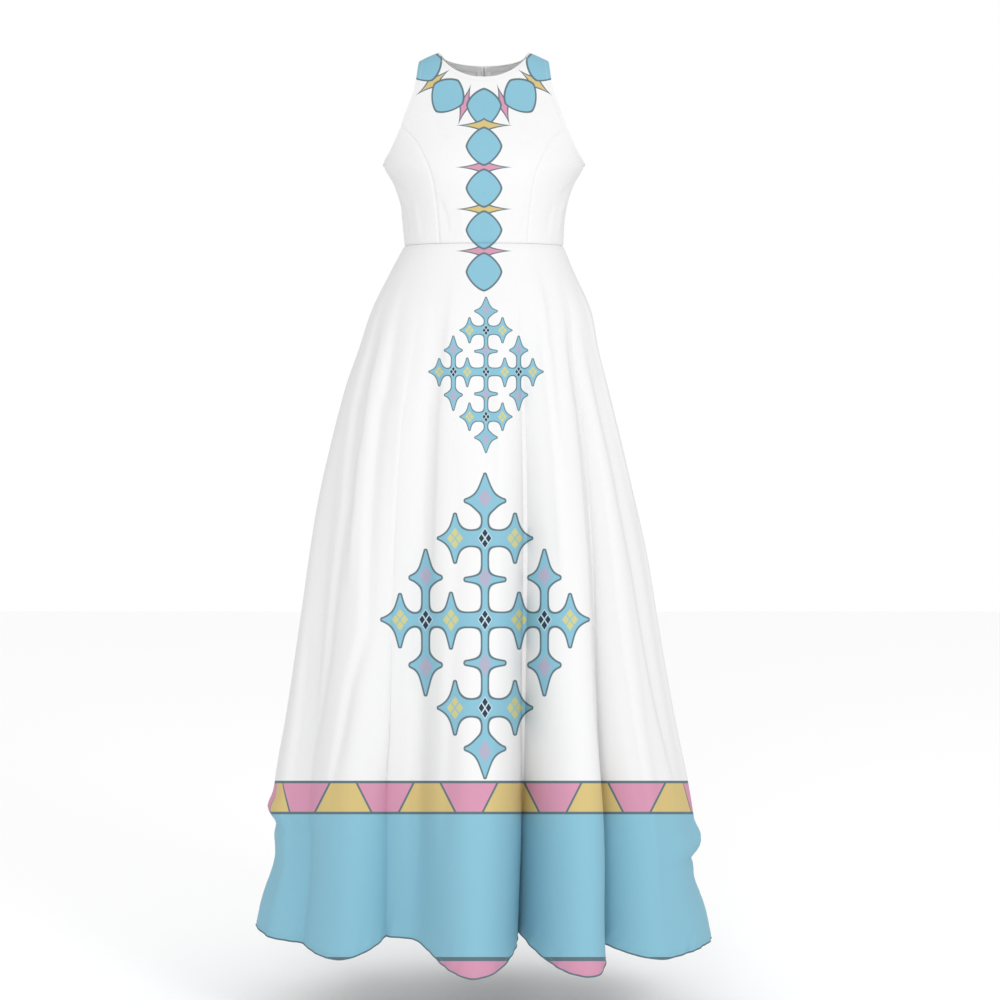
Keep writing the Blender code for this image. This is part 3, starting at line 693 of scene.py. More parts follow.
def shell(outer, places, wall=CLOTH_WALL):
    """Points, faces, sides and print places of a thin closed shell under a grid of points."""
    rows, columns = outer.shape[:2]
    inner = outer - grid_normals(outer) * wall
    count = rows * columns
    index = np.arange(count).reshape(rows, columns)
    quads = np.stack([index[:-1, :-1], index[:-1, 1:], index[1:, 1:], index[1:, :-1]], axis=-1)
    quads = quads.reshape(-1, 4)
    border = np.concatenate([index[0], index[1:, -1], index[-1, -2::-1], index[-2:0:-1, 0]])
    after = np.roll(border, -1)
    rim = np.stack([after, border, border + count, after + count], axis=-1)
    faces = np.concatenate([quads, quads[:, ::-1] + count, rim])
    sides = np.concatenate([np.zeros(len(quads)), np.ones(len(quads) + len(rim))])
    points = np.concatenate([outer.reshape(-1, 3), inner.reshape(-1, 3)])
    return points, faces, sides, np.concatenate([places.reshape(-1, 2)] * 2)


def roll(line, upright, half_across, half_out, places, corners=8):
    """The same of a thin closed roll along a line. upright gives the direction of half_out along it."""
    along = np.gradient(line, axis=0)
    across = np.cross(upright, along)
    across /= np.linalg.norm(across, axis=-1, keepdims=True)
    turns = np.linspace(0, 2 * math.pi, corners, endpoint=False)
    ring = [across * math.cos(a) * half_across + upright * math.sin(a) * half_out for a in turns]
    points = np.stack([line + offset for offset in ring], axis=1).reshape(-1, 3)
    index = np.arange(len(points)).reshape(len(line), corners)
    after = np.roll(index, -1, axis=1)
    quads = np.stack([index[:-1], after[:-1], after[1:], index[1:]], axis=-1).reshape(-1, 4)
    fan = np.array([(0, k, k + 1, k + 2) for k in range(1, corners - 1, 2)])
    faces = np.concatenate([quads, index[0][fan[:, ::-1]], index[-1][fan]])
    return points, faces, np.zeros(len(faces)), np.repeat(places, corners, axis=0)


def made_of(name, shapes, finishes):
    """One object from several shapes, with a finish for the outside and one for the inside and rims."""
    offsets = np.cumsum([0] + [len(shape[0]) for shape in shapes])
    points, faces, sides, places = zip(*shapes)
    faces = np.concatenate([some + offset for some, offset in zip(faces, offsets)])
    points, sides, places = (np.concatenate(parts) for parts in (points, sides, places))
    made = new_mesh(name, points, faces, finishes, sides, places)
    made.data.set_sharp_from_angle(angle=CLOTH_CORNER)
    return made


def read_along(at, known, values):
    """Rows of values read at new places between the known ones."""
    return np.stack([np.interp(at, known, column) for column in values.T], axis=-1)


class Panel:
    """A cut piece of cloth: a grid of points in rows that run upwards, with their print places."""

    def __init__(self, name, points, places, across, upwards):
        self.name, self.points, self.places = name, points, places
        self.across, self.upwards = across, upwards

    def strip(self, edge, distances, low=0.0, high=1.0, sunk=0.0):
        """Points, outward directions and print places at set distances in from an edge.

        They stand in rows that run upwards, from the share low of the edge to high, and lie under the
        cloth by sunk.
        """
        grid = np.concatenate([self.points, grid_normals(self.points), self.places], axis=-1)
        upright = edge in ("left", "right")
        if upright:
            grid = grid.transpose(1, 0, 2)
        if edge in ("high", "right"):
            grid = grid[::-1]
        steps = np.linalg.norm(np.diff(grid[..., :3], axis=0), axis=-1)
        away = np.concatenate([np.zeros((1, grid.shape[1])), np.cumsum(steps, axis=0)])
        shares = self.upwards if upright else self.across
        wanted = np.concatenate([[low], shares[(shares > low + 1e-6) & (shares < high - 1e-6)], [high]])
        inwards = np.stack([read_along(distances, away[:, j], grid[:, j]) for j in range(len(shares))])
        found = np.stack([read_along(wanted, shares, inwards[:, i]) for i in range(len(distances))])
        if edge in ("high", "right"):
            found = found[::-1]
        if upright:
            found = found.transpose(1, 0, 2)
        normals = found[..., 3:6] / np.linalg.norm(found[..., 3:6], axis=-1, keepdims=True)
        return found[..., :3] - normals * sunk, normals, found[..., 6:]

    def line(self, edge, distance, low=0.0, high=1.0, sunk=0.0):
        return [grid.reshape(-1, grid.shape[-1]) for grid in self.strip(edge, [distance], low, high, sunk)]


# The print, in millimetres of the front as the camera sees it. Heights are from the middle of the image.
PRINT_SOFTNESS = 0.9
OUTLINE = 1.35
INK = {
    "turquoise": (0.186, 0.390, 0.488),
    "pink": (0.502, 0.231, 0.334),
    "yellow": (0.502, 0.390, 0.158),
    "lemon": (0.495, 0.455, 0.165),
    "slate": (0.084, 0.133, 0.155),
    "navy": (0.012, 0.035, 0.060),
    "pale": (0.486, 0.594, 0.631),
}
CLOTH_WHITE = (0.650, 0.650, 0.650)

# Border of trapezoids between two lines, and the turquoise under it
BORDER_TOP, BORDER_FOOT = -451.2, -500.8
BORDER_LINE = 2.1
TRAPEZOID_SHIFT = 24.0
TRAPEZOID_TOP, TRAPEZOID_FOOT = 46.4, 21.2
TRAPEZOID_LINE = 1.6
HEM_LINE_TOP, HEM_LINE_FOOT = -731.2, -737.8

# Crosses: the large one, and the small one above it as the change from it.
CROSS_X, CROSS_HEIGHT = 1.6, -191.2
SMALL_CROSS_SHIFT_X, SMALL_CROSS_SHIFT = 1.6, 396.5
SMALL_CROSS_SHARES = (0.55, 0.51)
CROSSES_PART = 60.0
LOWER_HALF_SHARE = 0.92
ARM_BLEND = 20.0
# Arms of a quarter of the cross: direction, start across, start up, both ways or not, length,
# half breadth at its root and at its tip.
CROSS_ARMS = [
    ("up", 0.0, 0.0, False, 178.0, 5.6, 5.0),
    ("out", 0.0, 0.0, False, 128.0, 12.0, 9.5),
    ("out", 0.0, 130.0, False, 40.0, 13.5, 12.5),
    ("up", 95.0, 0.0, False, 62.0, 6.2, 5.8),
    ("up", 0.0, 190.0, False, 42.0, 18.0, 2.0),
    ("out", 0.0, 190.0, False, 30.0, 13.0, 3.0),
    ("out", 0.0, 64.0, False, 30.0, 8.5, 3.4),
    ("up", 95.0, 70.0, False, 40.0, 13.5, 2.2),
    ("out", 95.0, 67.0, True, 23.0, 9.5, 3.2),
    ("up", 54.5, 0.0, False, 41.0, 13.5, 2.4),
    ("up", 136.0, 0.0, False, 39.0, 13.5, 2.4),
    ("out", 136.0, 0.0, False, 28.0, 13.5, 2.6),
    ("up", 48.0, 130.0, True, 37.5, 12.5, 2.4),
    ("out", 48.0, 130.0, False, 26.0, 13.0, 2.0),
]
DARK_LOZENGES = [(0.0, 0.0), (95.0, 0.0), (0.0, 130.0)]
YELLOW_LOZENGES = [(54.5, 0.0), (136.0, 0.0), (48.0, 130.0)]
PINK_LOZENGES = [(0.0, 66.0), (0.0, 194.0), (95.0, 70.0)]
DARK_SIZE, YELLOW_SIZE, PINK_SIZE = (10.4, 15.2), (12.8, 16.8), (11.0, 17.0)
LOZENGE_GAP, PALE_GROUND = 0.9, 1.0
PINK_STRENGTH, YELLOW_STRENGTH = 0.42, 0.90

# Chain of leaves round the neck and down the centre front
NECK_MIDDLE, NECK_RADIUS = 731.0, 103.0
NECK_STEP = math.radians(35)
LEAF_SIZE, PENDANT_SIZE = (27.5, 30.0), (28.0, 30.0)
RING_TIE_SIZE, TIE_SIZE = (10.0, 31.0), (11.0, 41.0)
LEAF_ROUNDNESS, TIE_SHARPNESS = 1.45, 0.70
# How much of a leaf's smaller size its distance rises by from its edge to its middle
LEAF_RISE = 0.9
PENDANT_TOP, PENDANT_PITCH, PENDANTS = 566.0, 67.0, 4


class Field:
    """A number that varies over a surface, as the output of a Math node."""

    def __init__(self, tree, socket):
        self.tree, self.socket = tree, socket

    def math(self, operation, *others, clamp=False):
        node = self.tree.nodes.new("ShaderNodeMath")
        node.operation, node.use_clamp = operation, clamp
        for socket, value in zip(node.inputs, (self, *others)):
            if isinstance(value, Field):
                self.tree.links.new(value.socket, socket)
            else:
                socket.default_value = value
        return Field(self.tree, node.outputs[0])

    def __add__(self, other):
        return self.math("ADD", other)

    def __sub__(self, other):
        return self.math("SUBTRACT", other)

    def __mul__(self, other):
        return self.math("MULTIPLY", other)

    def __abs__(self):
        return self.math("ABSOLUTE")

    def least(self, other):
        return self.math("MINIMUM", other)

    def most(self, other):
        return self.math("MAXIMUM", other)

    def repeated(self, pitch):
        """The place within the nearest of a run of repeats, from its middle."""
        return self.math("WRAP", pitch / 2, -pitch / 2)

    def painted(self):
        """1 inside a shape whose distances are given, 0 outside it."""
        return self.math("MULTIPLY_ADD", -1 / PRINT_SOFTNESS, 0.5, clamp=True)


def length(a, b):
    return a.math("MULTIPLY_ADD", a, b * b).math("SQRT")


def arm(across, along, reach, root, tip):
    """Distance from an arm that tapers from its root to a rounded tip."""
    share = along.math("DIVIDE", reach, clamp=True)
    past = share.math("MULTIPLY_ADD", -reach, along)
    return length(across, past) - share.math("MULTIPLY_ADD", tip - root, root)


def lozenge(x, y, size):
    half, tall = size
    spread_to = abs(x).math("MULTIPLY_ADD", 1 / half, abs(y) * (1 / tall))
    return (spread_to - 1.0) * (half * tall / math.hypot(half, tall))


def four_lozenges(x, y, size):
    half, tall = size
    parting = abs((abs(x) * (1 / half)) - (abs(y) * (1 / tall))) * (half * tall / math.hypot(half, tall))
    return lozenge(x, y, size).most(parting.math("MULTIPLY_ADD", -1.0, LOZENGE_GAP))


def leaf(x, y, size, roundness):
    """Distance from a leaf, hollow-sided where its roundness is under 1 and full where it is over 1."""
    half, tall = size
    x_share = (abs(x) * (1 / half)).math("POWER", roundness)
    y_share = (abs(y) * (1 / tall)).math("POWER", roundness)
    return ((x_share + y_share).math("POWER", 1 / roundness) - 1.0) * (LEAF_RISE * min(size))


def least_of(fields):
    least = fields[0]
    for field in fields[1:]:
        least = least.least(field)
    return least


class Paint:
    """Layers of ink on a ground colour."""

    def __init__(self, tree, ground):
        self.tree, self.colour = tree, ground

    def over(self, ink, cover, strength=1.0):
        mix = self.tree.nodes.new("ShaderNodeMix")
        mix.data_type = "RGBA"
        cover = cover if strength == 1.0 else cover * strength
        self.tree.links.new(cover.socket, mix.inputs[0])
        if isinstance(self.colour, tuple):
            mix.inputs[6].default_value = (*self.colour, 1.0)
        else:
            self.tree.links.new(self.colour, mix.inputs[6])
        mix.inputs[7].default_value = (*INK[ink], 1.0)
        self.colour = mix.outputs[2]


def outlined(paint, ink, distance):
    """A shape in one ink with a slate line round it."""
    paint.over("slate", (distance - OUTLINE).painted())
    paint.over(ink, (distance + OUTLINE).painted())


def print_border(paint, across, up):
    """The turquoise over the hem, its lines, and the border of trapezoids."""
    turquoise = (up - BORDER_FOOT).painted()
    paint.over("turquoise", turquoise)
    below = (up - HEM_LINE_FOOT).painted()
    paint.over("pink", below)
    hem_half = (HEM_LINE_TOP - HEM_LINE_FOOT) / 2
    paint.over("slate", (abs(up - (HEM_LINE_FOOT + hem_half)) - hem_half).painted())
    middle, half = (BORDER_TOP + BORDER_FOOT) / 2, (BORDER_TOP - BORDER_FOOT) / 2
    inside = (abs(up - middle) - half).painted()
    paint.over("yellow", inside)
    slope = (TRAPEZOID_TOP - TRAPEZOID_FOOT) / (BORDER_TOP - BORDER_FOOT)
    edge = (up - BORDER_FOOT).math("MULTIPLY_ADD", slope, TRAPEZOID_FOOT)
    off_middle = abs((across + TRAPEZOID_SHIFT).repeated(BAND_PITCH * MILLIMETRES))
    beyond = (off_middle - edge) * (1 / math.hypot(1, slope))
    paint.over("pink", beyond.painted().math("MULTIPLY", inside))
    paint.over("slate", (abs(beyond) - TRAPEZOID_LINE).painted().math("MULTIPLY", inside))
    paint.over("slate", (abs(abs(up - middle) - half) - BORDER_LINE).painted())


def print_crosses(paint, across, up):
    """The two crosses on the skirt's centre front. One quarter is drawn, folded over to the other three."""
    small = up.math("GREATER_THAN", CROSSES_PART)
    wide, tall = (1 / share - 1 for share in SMALL_CROSS_SHARES)
    x = abs(across - small.math("MULTIPLY_ADD", SMALL_CROSS_SHIFT_X, CROSS_X))
    x = x * small.math("MULTIPLY_ADD", wide, 1.0)
    y = up - small.math("MULTIPLY_ADD", SMALL_CROSS_SHIFT, CROSS_HEIGHT)
    y = y * small.math("MULTIPLY_ADD", tall, 1.0)
    y = y.most(y * -LOWER_HALF_SHARE)
    body = None
    for direction, from_x, from_y, both, reach, root, tip in CROSS_ARMS:
        out, upwards = x - from_x, y - from_y
        side, along = (out, upwards) if direction == "up" else (upwards, out)
        one = arm(side, abs(along) if both else along, reach, root, tip)
        body = one if body is None else body.math("SMOOTH_MIN", one, ARM_BLEND)
    outlined(paint, "turquoise", body)
    pinks = least_of([lozenge(x - at_x, y - at_y, PINK_SIZE) for at_x, at_y in PINK_LOZENGES])
    paint.over("pink", pinks.painted(), PINK_STRENGTH)
    yellows = least_of([four_lozenges(x - at_x, y - at_y, YELLOW_SIZE) for at_x, at_y in YELLOW_LOZENGES])
    paint.over("lemon", yellows.painted(), YELLOW_STRENGTH)
    grounds = least_of([lozenge(x - at_x, y - at_y, DARK_SIZE) for at_x, at_y in DARK_LOZENGES])
    paint.over("pale", (grounds - PALE_GROUND).painted())
    darks = least_of([four_lozenges(x - at_x, y - at_y, DARK_SIZE) for at_x, at_y in DARK_LOZENGES])
    paint.over("navy", darks.painted())


def print_neck_chain(paint, across, up):
    """Leaves round the neck with pointed ties between them, every second one yellow."""
    below = up.math("MULTIPLY_ADD", -1.0, NECK_MIDDLE)
    turn = across.math("ARCTAN2", below)
    radius = length(across, below)
    outwards = radius - NECK_RADIUS
    tie_x = (turn + NECK_STEP / 2).repeated(NECK_STEP) * radius
    second = abs(turn).math("WRAP", 2 * NECK_STEP, 0.0).math("GREATER_THAN", NECK_STEP)
    ties = leaf(tie_x, outwards, RING_TIE_SIZE, TIE_SHARPNESS)
    outlined(paint, "pink", ties)
    paint.over("yellow", (ties + OUTLINE).painted().math("MULTIPLY", second))
    leaves = leaf(turn.repeated(NECK_STEP) * radius, outwards, LEAF_SIZE, LEAF_ROUNDNESS)
    outlined(paint, "turquoise", leaves)


def print_pendants(paint, across, up):
    """A row of leaves down the centre front with ties between them, every second one pink."""
    span = PENDANT_PITCH * PENDANTS / 2
    middle = PENDANT_TOP + PENDANT_PITCH / 2 - span
    in_row = abs(up - middle) - span
    tie_row = abs(up - (middle + PENDANT_PITCH * 3 / 8)) - (span - PENDANT_PITCH / 8)
    first_tie = PENDANT_TOP + PENDANT_PITCH / 2
    ties = leaf((up - first_tie).repeated(PENDANT_PITCH), across, TIE_SIZE, TIE_SHARPNESS).most(tie_row)
    second = abs((up - first_tie).repeated(2 * PENDANT_PITCH)).math("GREATER_THAN", PENDANT_PITCH / 2)
    outlined(paint, "yellow", ties)
    paint.over("pink", (ties + OUTLINE).painted().math("MULTIPLY", second))
    pendants = leaf(across, (up - PENDANT_TOP).repeated(PENDANT_PITCH), PENDANT_SIZE, LEAF_ROUNDNESS)
    outlined(paint, "turquoise", pendants.most(in_row))


DESIGNS = {
    "bodice front": [print_neck_chain, print_pendants],
    "bodice back": [],
    "skirt front": [print_border, print_crosses, print_pendants],
    "skirt back": [print_border],
}

# Cloth: scale, depth in metres and strength of its relief, and how it takes the light
WRINKLE_SCALE, WRINKLE_DEPTH, WRINKLE_STRENGTH = 26.0, 0.0016, 0.45
WRINKLE_STRETCH = (1.0, 1.0, 0.35)
GRAIN_SCALE, GRAIN_DEPTH, GRAIN_STRENGTH = 900.0, 0.00005, 0.5
WEAVE_SCALE, WEAVE_DISTORTION, WEAVE_DEPTH, WEAVE_STRENGTH = 160.0, 1.5, 0.00010, 0.5
CLOTH_ROUGHNESS, CLOTH_SPECULAR = 0.78, 0.28
CLOTH_SHEEN, CLOTH_SHEEN_ROUGHNESS = 0.03, 0.4
PRINT_SEEN_INSIDE, THREAD_ROUGHNESS = 0.35, 0.6
# Specks: how much lighter and darker the grain leaves the ink, and how pale it shows on plain cloth
SPECKS, SPECK_BASE, PLAIN_SPECKS = 0.05, 0.975, 0.02
TAPE_SCALE, TAPE_DISTORTION, TAPE_STRENGTH = 260.0, 2.0, 0.8


def node_of(tree, kind, **settings):
    node = tree.nodes.new(kind)
    for name, value in settings.items():
        if name in node.inputs:
            node.inputs[name].default_value = value
        else:
            setattr(node, name, value)
    return node


def bumped(tree, height, distance, strength, below=None):
    """A Bump node fed with a height, on top of another bump."""
    bump = node_of(tree, "ShaderNodeBump", Distance=distance, Strength=strength)
    tree.links.new(height, bump.inputs["Height"])
    if below is not None:
        tree.links.new(below, bump.inputs["Normal"])
    return bump.outputs["Normal"]


def cloth_relief(tree, coordinates):
    """Long soft wrinkles, a crepe grain and the weave of its threads."""
    stretch = node_of(tree, "ShaderNodeMapping")
    stretch.inputs["Scale"].default_value = WRINKLE_STRETCH
    tree.links.new(coordinates, stretch.inputs["Vector"])
    wrinkles = node_of(tree, "ShaderNodeTexNoise", Scale=WRINKLE_SCALE, Detail=3.0, Roughness=0.5)
    tree.links.new(stretch.outputs["Vector"], wrinkles.inputs["Vector"])
    grain = node_of(tree, "ShaderNodeTexNoise", Scale=GRAIN_SCALE, Detail=2.0, Roughness=0.6)
    tree.links.new(coordinates, grain.inputs["Vector"])
    weave = [
        node_of(tree, "ShaderNodeTexWave", Scale=WEAVE_SCALE, Distortion=WEAVE_DISTORTION) for _ in range(2)
    ]
    for threads, direction in zip(weave, ("X", "Z")):
        threads.bands_direction = direction
        tree.links.new(coordinates, threads.inputs["Vector"])
    crossed = Field(tree, weave[0].outputs["Fac"]) * Field(tree, weave[1].outputs["Fac"])
    normal = bumped(tree, wrinkles.outputs["Fac"], WRINKLE_DEPTH, WRINKLE_STRENGTH)
    normal = bumped(tree, grain.outputs["Fac"], GRAIN_DEPTH, GRAIN_STRENGTH, normal)
    return bumped(tree, crossed.socket, WEAVE_DEPTH, WEAVE_STRENGTH, normal), grain.outputs["Fac"]


def cloth_finish(name, designs=(), strength=1.0, ground=CLOTH_WHITE):
    """Woven cloth of a ground colour, printed with designs."""
    finish = bpy.data.materials.new(name)
    finish.use_nodes = True
    tree = finish.node_tree
    shader = tree.nodes["Principled BSDF"]
    coordinates = node_of(tree, "ShaderNodeTexCoord").outputs["Object"]
    normal, grain = cloth_relief(tree, coordinates)
    tree.links.new(normal, shader.inputs["Normal"])
    shader.inputs["Roughness"].default_value = CLOTH_ROUGHNESS
    shader.inputs["Sheen Weight"].default_value = CLOTH_SHEEN
    shader.inputs["Sheen Roughness"].default_value = CLOTH_SHEEN_ROUGHNESS
    shader.inputs["Specular IOR Level"].default_value = CLOTH_SPECULAR
    paint = Paint(tree, ground)
    if designs:
        parted = node_of(tree, "ShaderNodeSeparateXYZ")
        tree.links.new(node_of(tree, "ShaderNodeUVMap", uv_map="print").outputs["UV"], parted.inputs[0])
        across, up = (Field(tree, parted.outputs[k]) * MILLIMETRES for k in (0, 1))
        for design in designs:
            design(paint, across, up)
    else:
        paint.over("pale", Field(tree, grain) * PLAIN_SPECKS)
    shade = node_of(tree, "ShaderNodeMix", data_type="RGBA", blend_type="MIX")
    shade.inputs[0].default_value = strength
    shade.inputs[6].default_value = (*ground, 1.0)
    tree.links.new(paint.colour, shade.inputs[7])
    specks = Field(tree, grain).math("MULTIPLY_ADD", SPECKS, SPECK_BASE)
    worn = node_of(tree, "ShaderNodeHueSaturation")
    tree.links.new(specks.socket, worn.inputs["Value"])
    tree.links.new(shade.outputs[2], worn.inputs["Color"])
    tree.links.new(worn.outputs["Color"], shader.inputs["Base Color"])
    return finish


def plain_finish(name, colour, roughness, weave=0.0):
    """Thread, tape or enamel. weave is the depth of its threads in metres."""
    finish = bpy.data.materials.new(name)
    finish.use_nodes = True
    tree = finish.node_tree
    shader = tree.nodes["Principled BSDF"]
    shader.inputs["Base Color"].default_value = (*colour, 1.0)
    shader.inputs["Roughness"].default_value = roughness
    if weave:
        coordinates = node_of(tree, "ShaderNodeTexCoord").outputs["Object"]
        threads = node_of(tree, "ShaderNodeTexWave", Scale=TAPE_SCALE, Distortion=TAPE_DISTORTION)
        threads.bands_direction = "DIAGONAL"
        tree.links.new(coordinates, threads.inputs["Vector"])
        tree.links.new(bumped(tree, threads.outputs["Fac"], weave, TAPE_STRENGTH), shader.inputs["Normal"])
    return finish


BODY = "dress"


def add_piece(made, body=BODY, stands_for=None):
    if stands_for:
        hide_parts(stands_for)
    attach(made, body)
    return made


def smooth_bodice(bearing, z):
    return bodice_point(bearing, down_at(z))


def smooth_skirt(bearing, z):
    right, left, front, back = np.moveaxis(skirt_section(-z), -1, 0)
    across, forward = round_section(bearing)
    half, depth = np.where(across > 0, left, right), np.where(forward > 0, front, back)
    return np.stack([half * across, -depth * forward, z], axis=-1)


# How much closer together the columns and rows stand near the edges of a panel
BODICE_CROWDING = 0.35
SKIRT_COLUMN_CROWDING, SKIRT_ROW_CROWDING = 0.25, 0.45
FRONT_SHARE = (1 - FRONT_SHOULDER_SHARE) / 2
ARMHOLE_LEFT, ARMHOLE_RIGHT = ("left", ARMHOLE_SHARE, 1), ("right", ARMHOLE_SHARE, 1)
BODICE_PANELS = [
    # name, outline, columns, rows, seams and open edges, each as an edge and a share of it
    (
        "bodice_front", front_outline(), 126, 120,
        [
            ("low", 0, 1), ("left", 0, ARMHOLE_SHARE), ("right", 0, ARMHOLE_SHARE),
            ("high", 0, 0.5 - FRONT_SHARE), ("high", 0.5 + FRONT_SHARE, 1),
        ],
        [("high", 0.5 - FRONT_SHARE, 0.5 + FRONT_SHARE), ARMHOLE_LEFT, ARMHOLE_RIGHT],
    ),
    (
        "bodice_side_front_left", side_front_outline(), 56, 90,
        [("low", 0, 1), ("left", 0, 1), ("right", 0, 1)], [("high", 0, 1)],
    ),
    (
        "bodice_side_front_right", flipped(side_front_outline()), 56, 90,
        [("low", 0, 1), ("left", 0, 1), ("right", 0, 1)], [("high", 0, 1)],
    ),
    (
        "bodice_back_left", back_outline(), 80, 120,
        [("low", 0, 1), ("left", 0, ARMHOLE_SHARE), ("high", 0, BACK_SHOULDER_SHARE), ("right", 0, 1)],
        [("high", BACK_SHOULDER_SHARE, 1), ARMHOLE_LEFT],
    ),
    (
        "bodice_back_right", flipped(back_outline()), 80, 120,
        [("low", 0, 1), ("right", 0, ARMHOLE_SHARE), ("high", 1 - BACK_SHOULDER_SHARE, 1), ("left", 0, 1)],
        [("high", 0, 1 - BACK_SHOULDER_SHARE), ARMHOLE_RIGHT],
    ),
]
ZIP_END_Z = -0.455
ZIP_END_SHARE = (ZIP_END_Z - HEM_Z) / (WAIST_Z - HEM_Z)
SKIRT_PANELS = [
    # name, first and last flank, columns, rows, seams
    ("skirt_front", 0, 12, 300, 148, [("high", 0, 1), ("left", 0, 1), ("right", 0, 1)]),
    ("skirt_back_left", 12, 19, 176, 148, [("high", 0, 1), ("left", 0, 1), ("right", 0, ZIP_END_SHARE)]),
    ("skirt_back_right", 19, 26, 176, 148, [("high", 0, 1), ("right", 0, 1), ("left", 0, ZIP_END_SHARE)]),
]
# The back's edges that the zip closes
BACK_CENTRE = {"bodice_back_left": "right", "bodice_back_right": "left"}
# The share of the fall at which the skirt's columns stand evenly, and the steps of a flank that find them
EVEN_FALL, FLANK_STEPS = 0.9, 60
# The least distance down at which the shoulders' outward directions are read
SHOULDER_STEP = 2e-4
# Radii that turn a bearing into a width, with the creases and the smooth outline of each part
BODICE_GIRTH, SKIRT_GIRTH = 0.12, 0.26
BODICE = BODICE_GIRTH, BODICE_CREASES, smooth_bodice
SKIRT = SKIRT_GIRTH, SKIRT_CREASES, smooth_skirt


def finished_panel(name, part, points, normals, bearing, girth, seams, seed, across, upwards):
    """Creases and seams on a panel of the BODICE or the SKIRT, and where the print falls on it."""
    mean_girth, creases, smooth_outline = part
    points = creased(points, normals, bearing, girth, mean_girth, creases)
    points = sewn(points, normals, seams, across, upwards, seed)
    return Panel(name, points, print_places(points, bearing, smooth_outline), across, upwards)


# Edges, seams and stitches
ALLOWANCE, ALLOWANCE_START, ALLOWANCE_WALL = 0.012, 0.0004, 0.0006
TURNED_EDGE, TURNED_START = 0.010, 0.0006
STRIP_ROWS = 4
ALLOWANCE_SUNK = CLOTH_WALL + SEAM_GAP
TURNED_SUNK = CLOTH_WALL + ALLOWANCE_WALL + 2 * SEAM_GAP
EDGE_HALF_ACROSS, EDGE_HALF_OUT = 0.0010, 0.0009
HEM_HALF_ACROSS, HEM_HALF_OUT = 0.0014, 0.0013
EDGE_STITCHES, HEM_STITCHES = 0.0070, 0.0062
STITCH_PITCH, STITCH_LENGTH, STITCH_THICKNESS = 0.0031, 0.0024, 0.0005
STITCH_SUNK = -0.0001


def add_panel(panel, face, inside, seams):
    """A panel's shell and, inside it, the allowances along its seams."""
    made = made_of(panel.name, [shell(panel.points, panel.places)], [face, inside])
    add_piece(made, stands_for=panel.name)
    distances = np.linspace(ALLOWANCE_START, ALLOWANCE, STRIP_ROWS)
    shapes = []
    for edge, low, high in seams:
        points, _, places = panel.strip(edge, distances, low, high, ALLOWANCE_SUNK)
        shapes.append(shell(points, places, ALLOWANCE_WALL))
    name = panel.name + "_seam_allowances"
    add_piece(made_of(name, shapes, [inside, inside]))


def add_turned_edges(panel, open_edges, face):
    """The edges that are turned under once, round the neck and the armholes."""
    distances = np.linspace(TURNED_START, TURNED_EDGE, STRIP_ROWS)
    shapes = []
    for edge, low, high in open_edges:
        points, _, places = panel.strip(edge, distances, low, high, TURNED_SUNK)
        shapes.append(shell(points, places, ALLOWANCE_WALL))
        line, normals, places = panel.line(edge, 0.0, low, high, CLOTH_WALL)
        shapes.append(roll(line, normals, EDGE_HALF_ACROSS, EDGE_HALF_OUT, places))
    name = panel.name + "_turned_edges"
    add_piece(made_of(name, shapes, [face, face]))


def add_rolled_hem(panel, finish):
    line, normals, places = panel.line("low", 0.0, sunk=CLOTH_WALL / 2)
    hem = roll(line, normals, HEM_HALF_ACROSS, HEM_HALF_OUT, places)
    name = panel.name + "_rolled_hem"
    add_piece(made_of(name, [hem], [finish]))


def stitch_tree():
    """Geometry Nodes that lay one stitch after another along a line."""
    tree = bpy.data.node_groups.new("stitches", "GeometryNodeTree")
    sizes = {"Pitch": "Float", "Length": "Float", "Thickness": "Float"}
    sockets = {"Line": "Geometry", **sizes, "Thread": "Material"}
    for name, kind in sockets.items():
        tree.interface.new_socket(name, in_out="INPUT", socket_type="NodeSocket" + kind)
    tree.interface.new_socket("Stitches", in_out="OUTPUT", socket_type="NodeSocketGeometry")
    given, result = tree.nodes.new("NodeGroupInput"), tree.nodes.new("NodeGroupOutput")
    curve = tree.nodes.new("GeometryNodeMeshToCurve")
    spaced = tree.nodes.new("GeometryNodeResampleCurve")
    spaced.mode = "LENGTH"
    tangent = tree.nodes.new("GeometryNodeInputTangent")
    turn = tree.nodes.new("FunctionNodeAlignRotationToVector")
    turn.axis = "Z"
    grain = node_of(tree, "GeometryNodeMeshUVSphere", Segments=6, Rings=5, Radius=0.5)
    size = tree.nodes.new("ShaderNodeCombineXYZ")
    laid = tree.nodes.new("GeometryNodeInstanceOnPoints")
    real = tree.nodes.new("GeometryNodeRealizeInstances")
    dyed = tree.nodes.new("GeometryNodeSetMaterial")
    links = [
        (given.outputs["Line"], curve.inputs["Mesh"]),
        (curve.outputs["Curve"], spaced.inputs["Curve"]),
        (given.outputs["Pitch"], spaced.inputs["Length"]),
        (spaced.outputs["Curve"], laid.inputs["Points"]),
        (tangent.outputs["Tangent"], turn.inputs["Vector"]),
        (turn.outputs["Rotation"], laid.inputs["Rotation"]),
        (grain.outputs["Mesh"], laid.inputs["Instance"]),
        (given.outputs["Thickness"], size.inputs["X"]),
        (given.outputs["Thickness"], size.inputs["Y"]),
        (given.outputs["Length"], size.inputs["Z"]),
        (size.outputs["Vector"], laid.inputs["Scale"]),
        (laid.outputs["Instances"], real.inputs["Geometry"]),
        (real.outputs["Geometry"], dyed.inputs["Geometry"]),
        (given.outputs["Thread"], dyed.inputs["Material"]),
        (dyed.outputs["Geometry"], result.inputs["Stitches"]),
    ]
    for source, target in links:
        tree.links.new(source, target)
    return tree


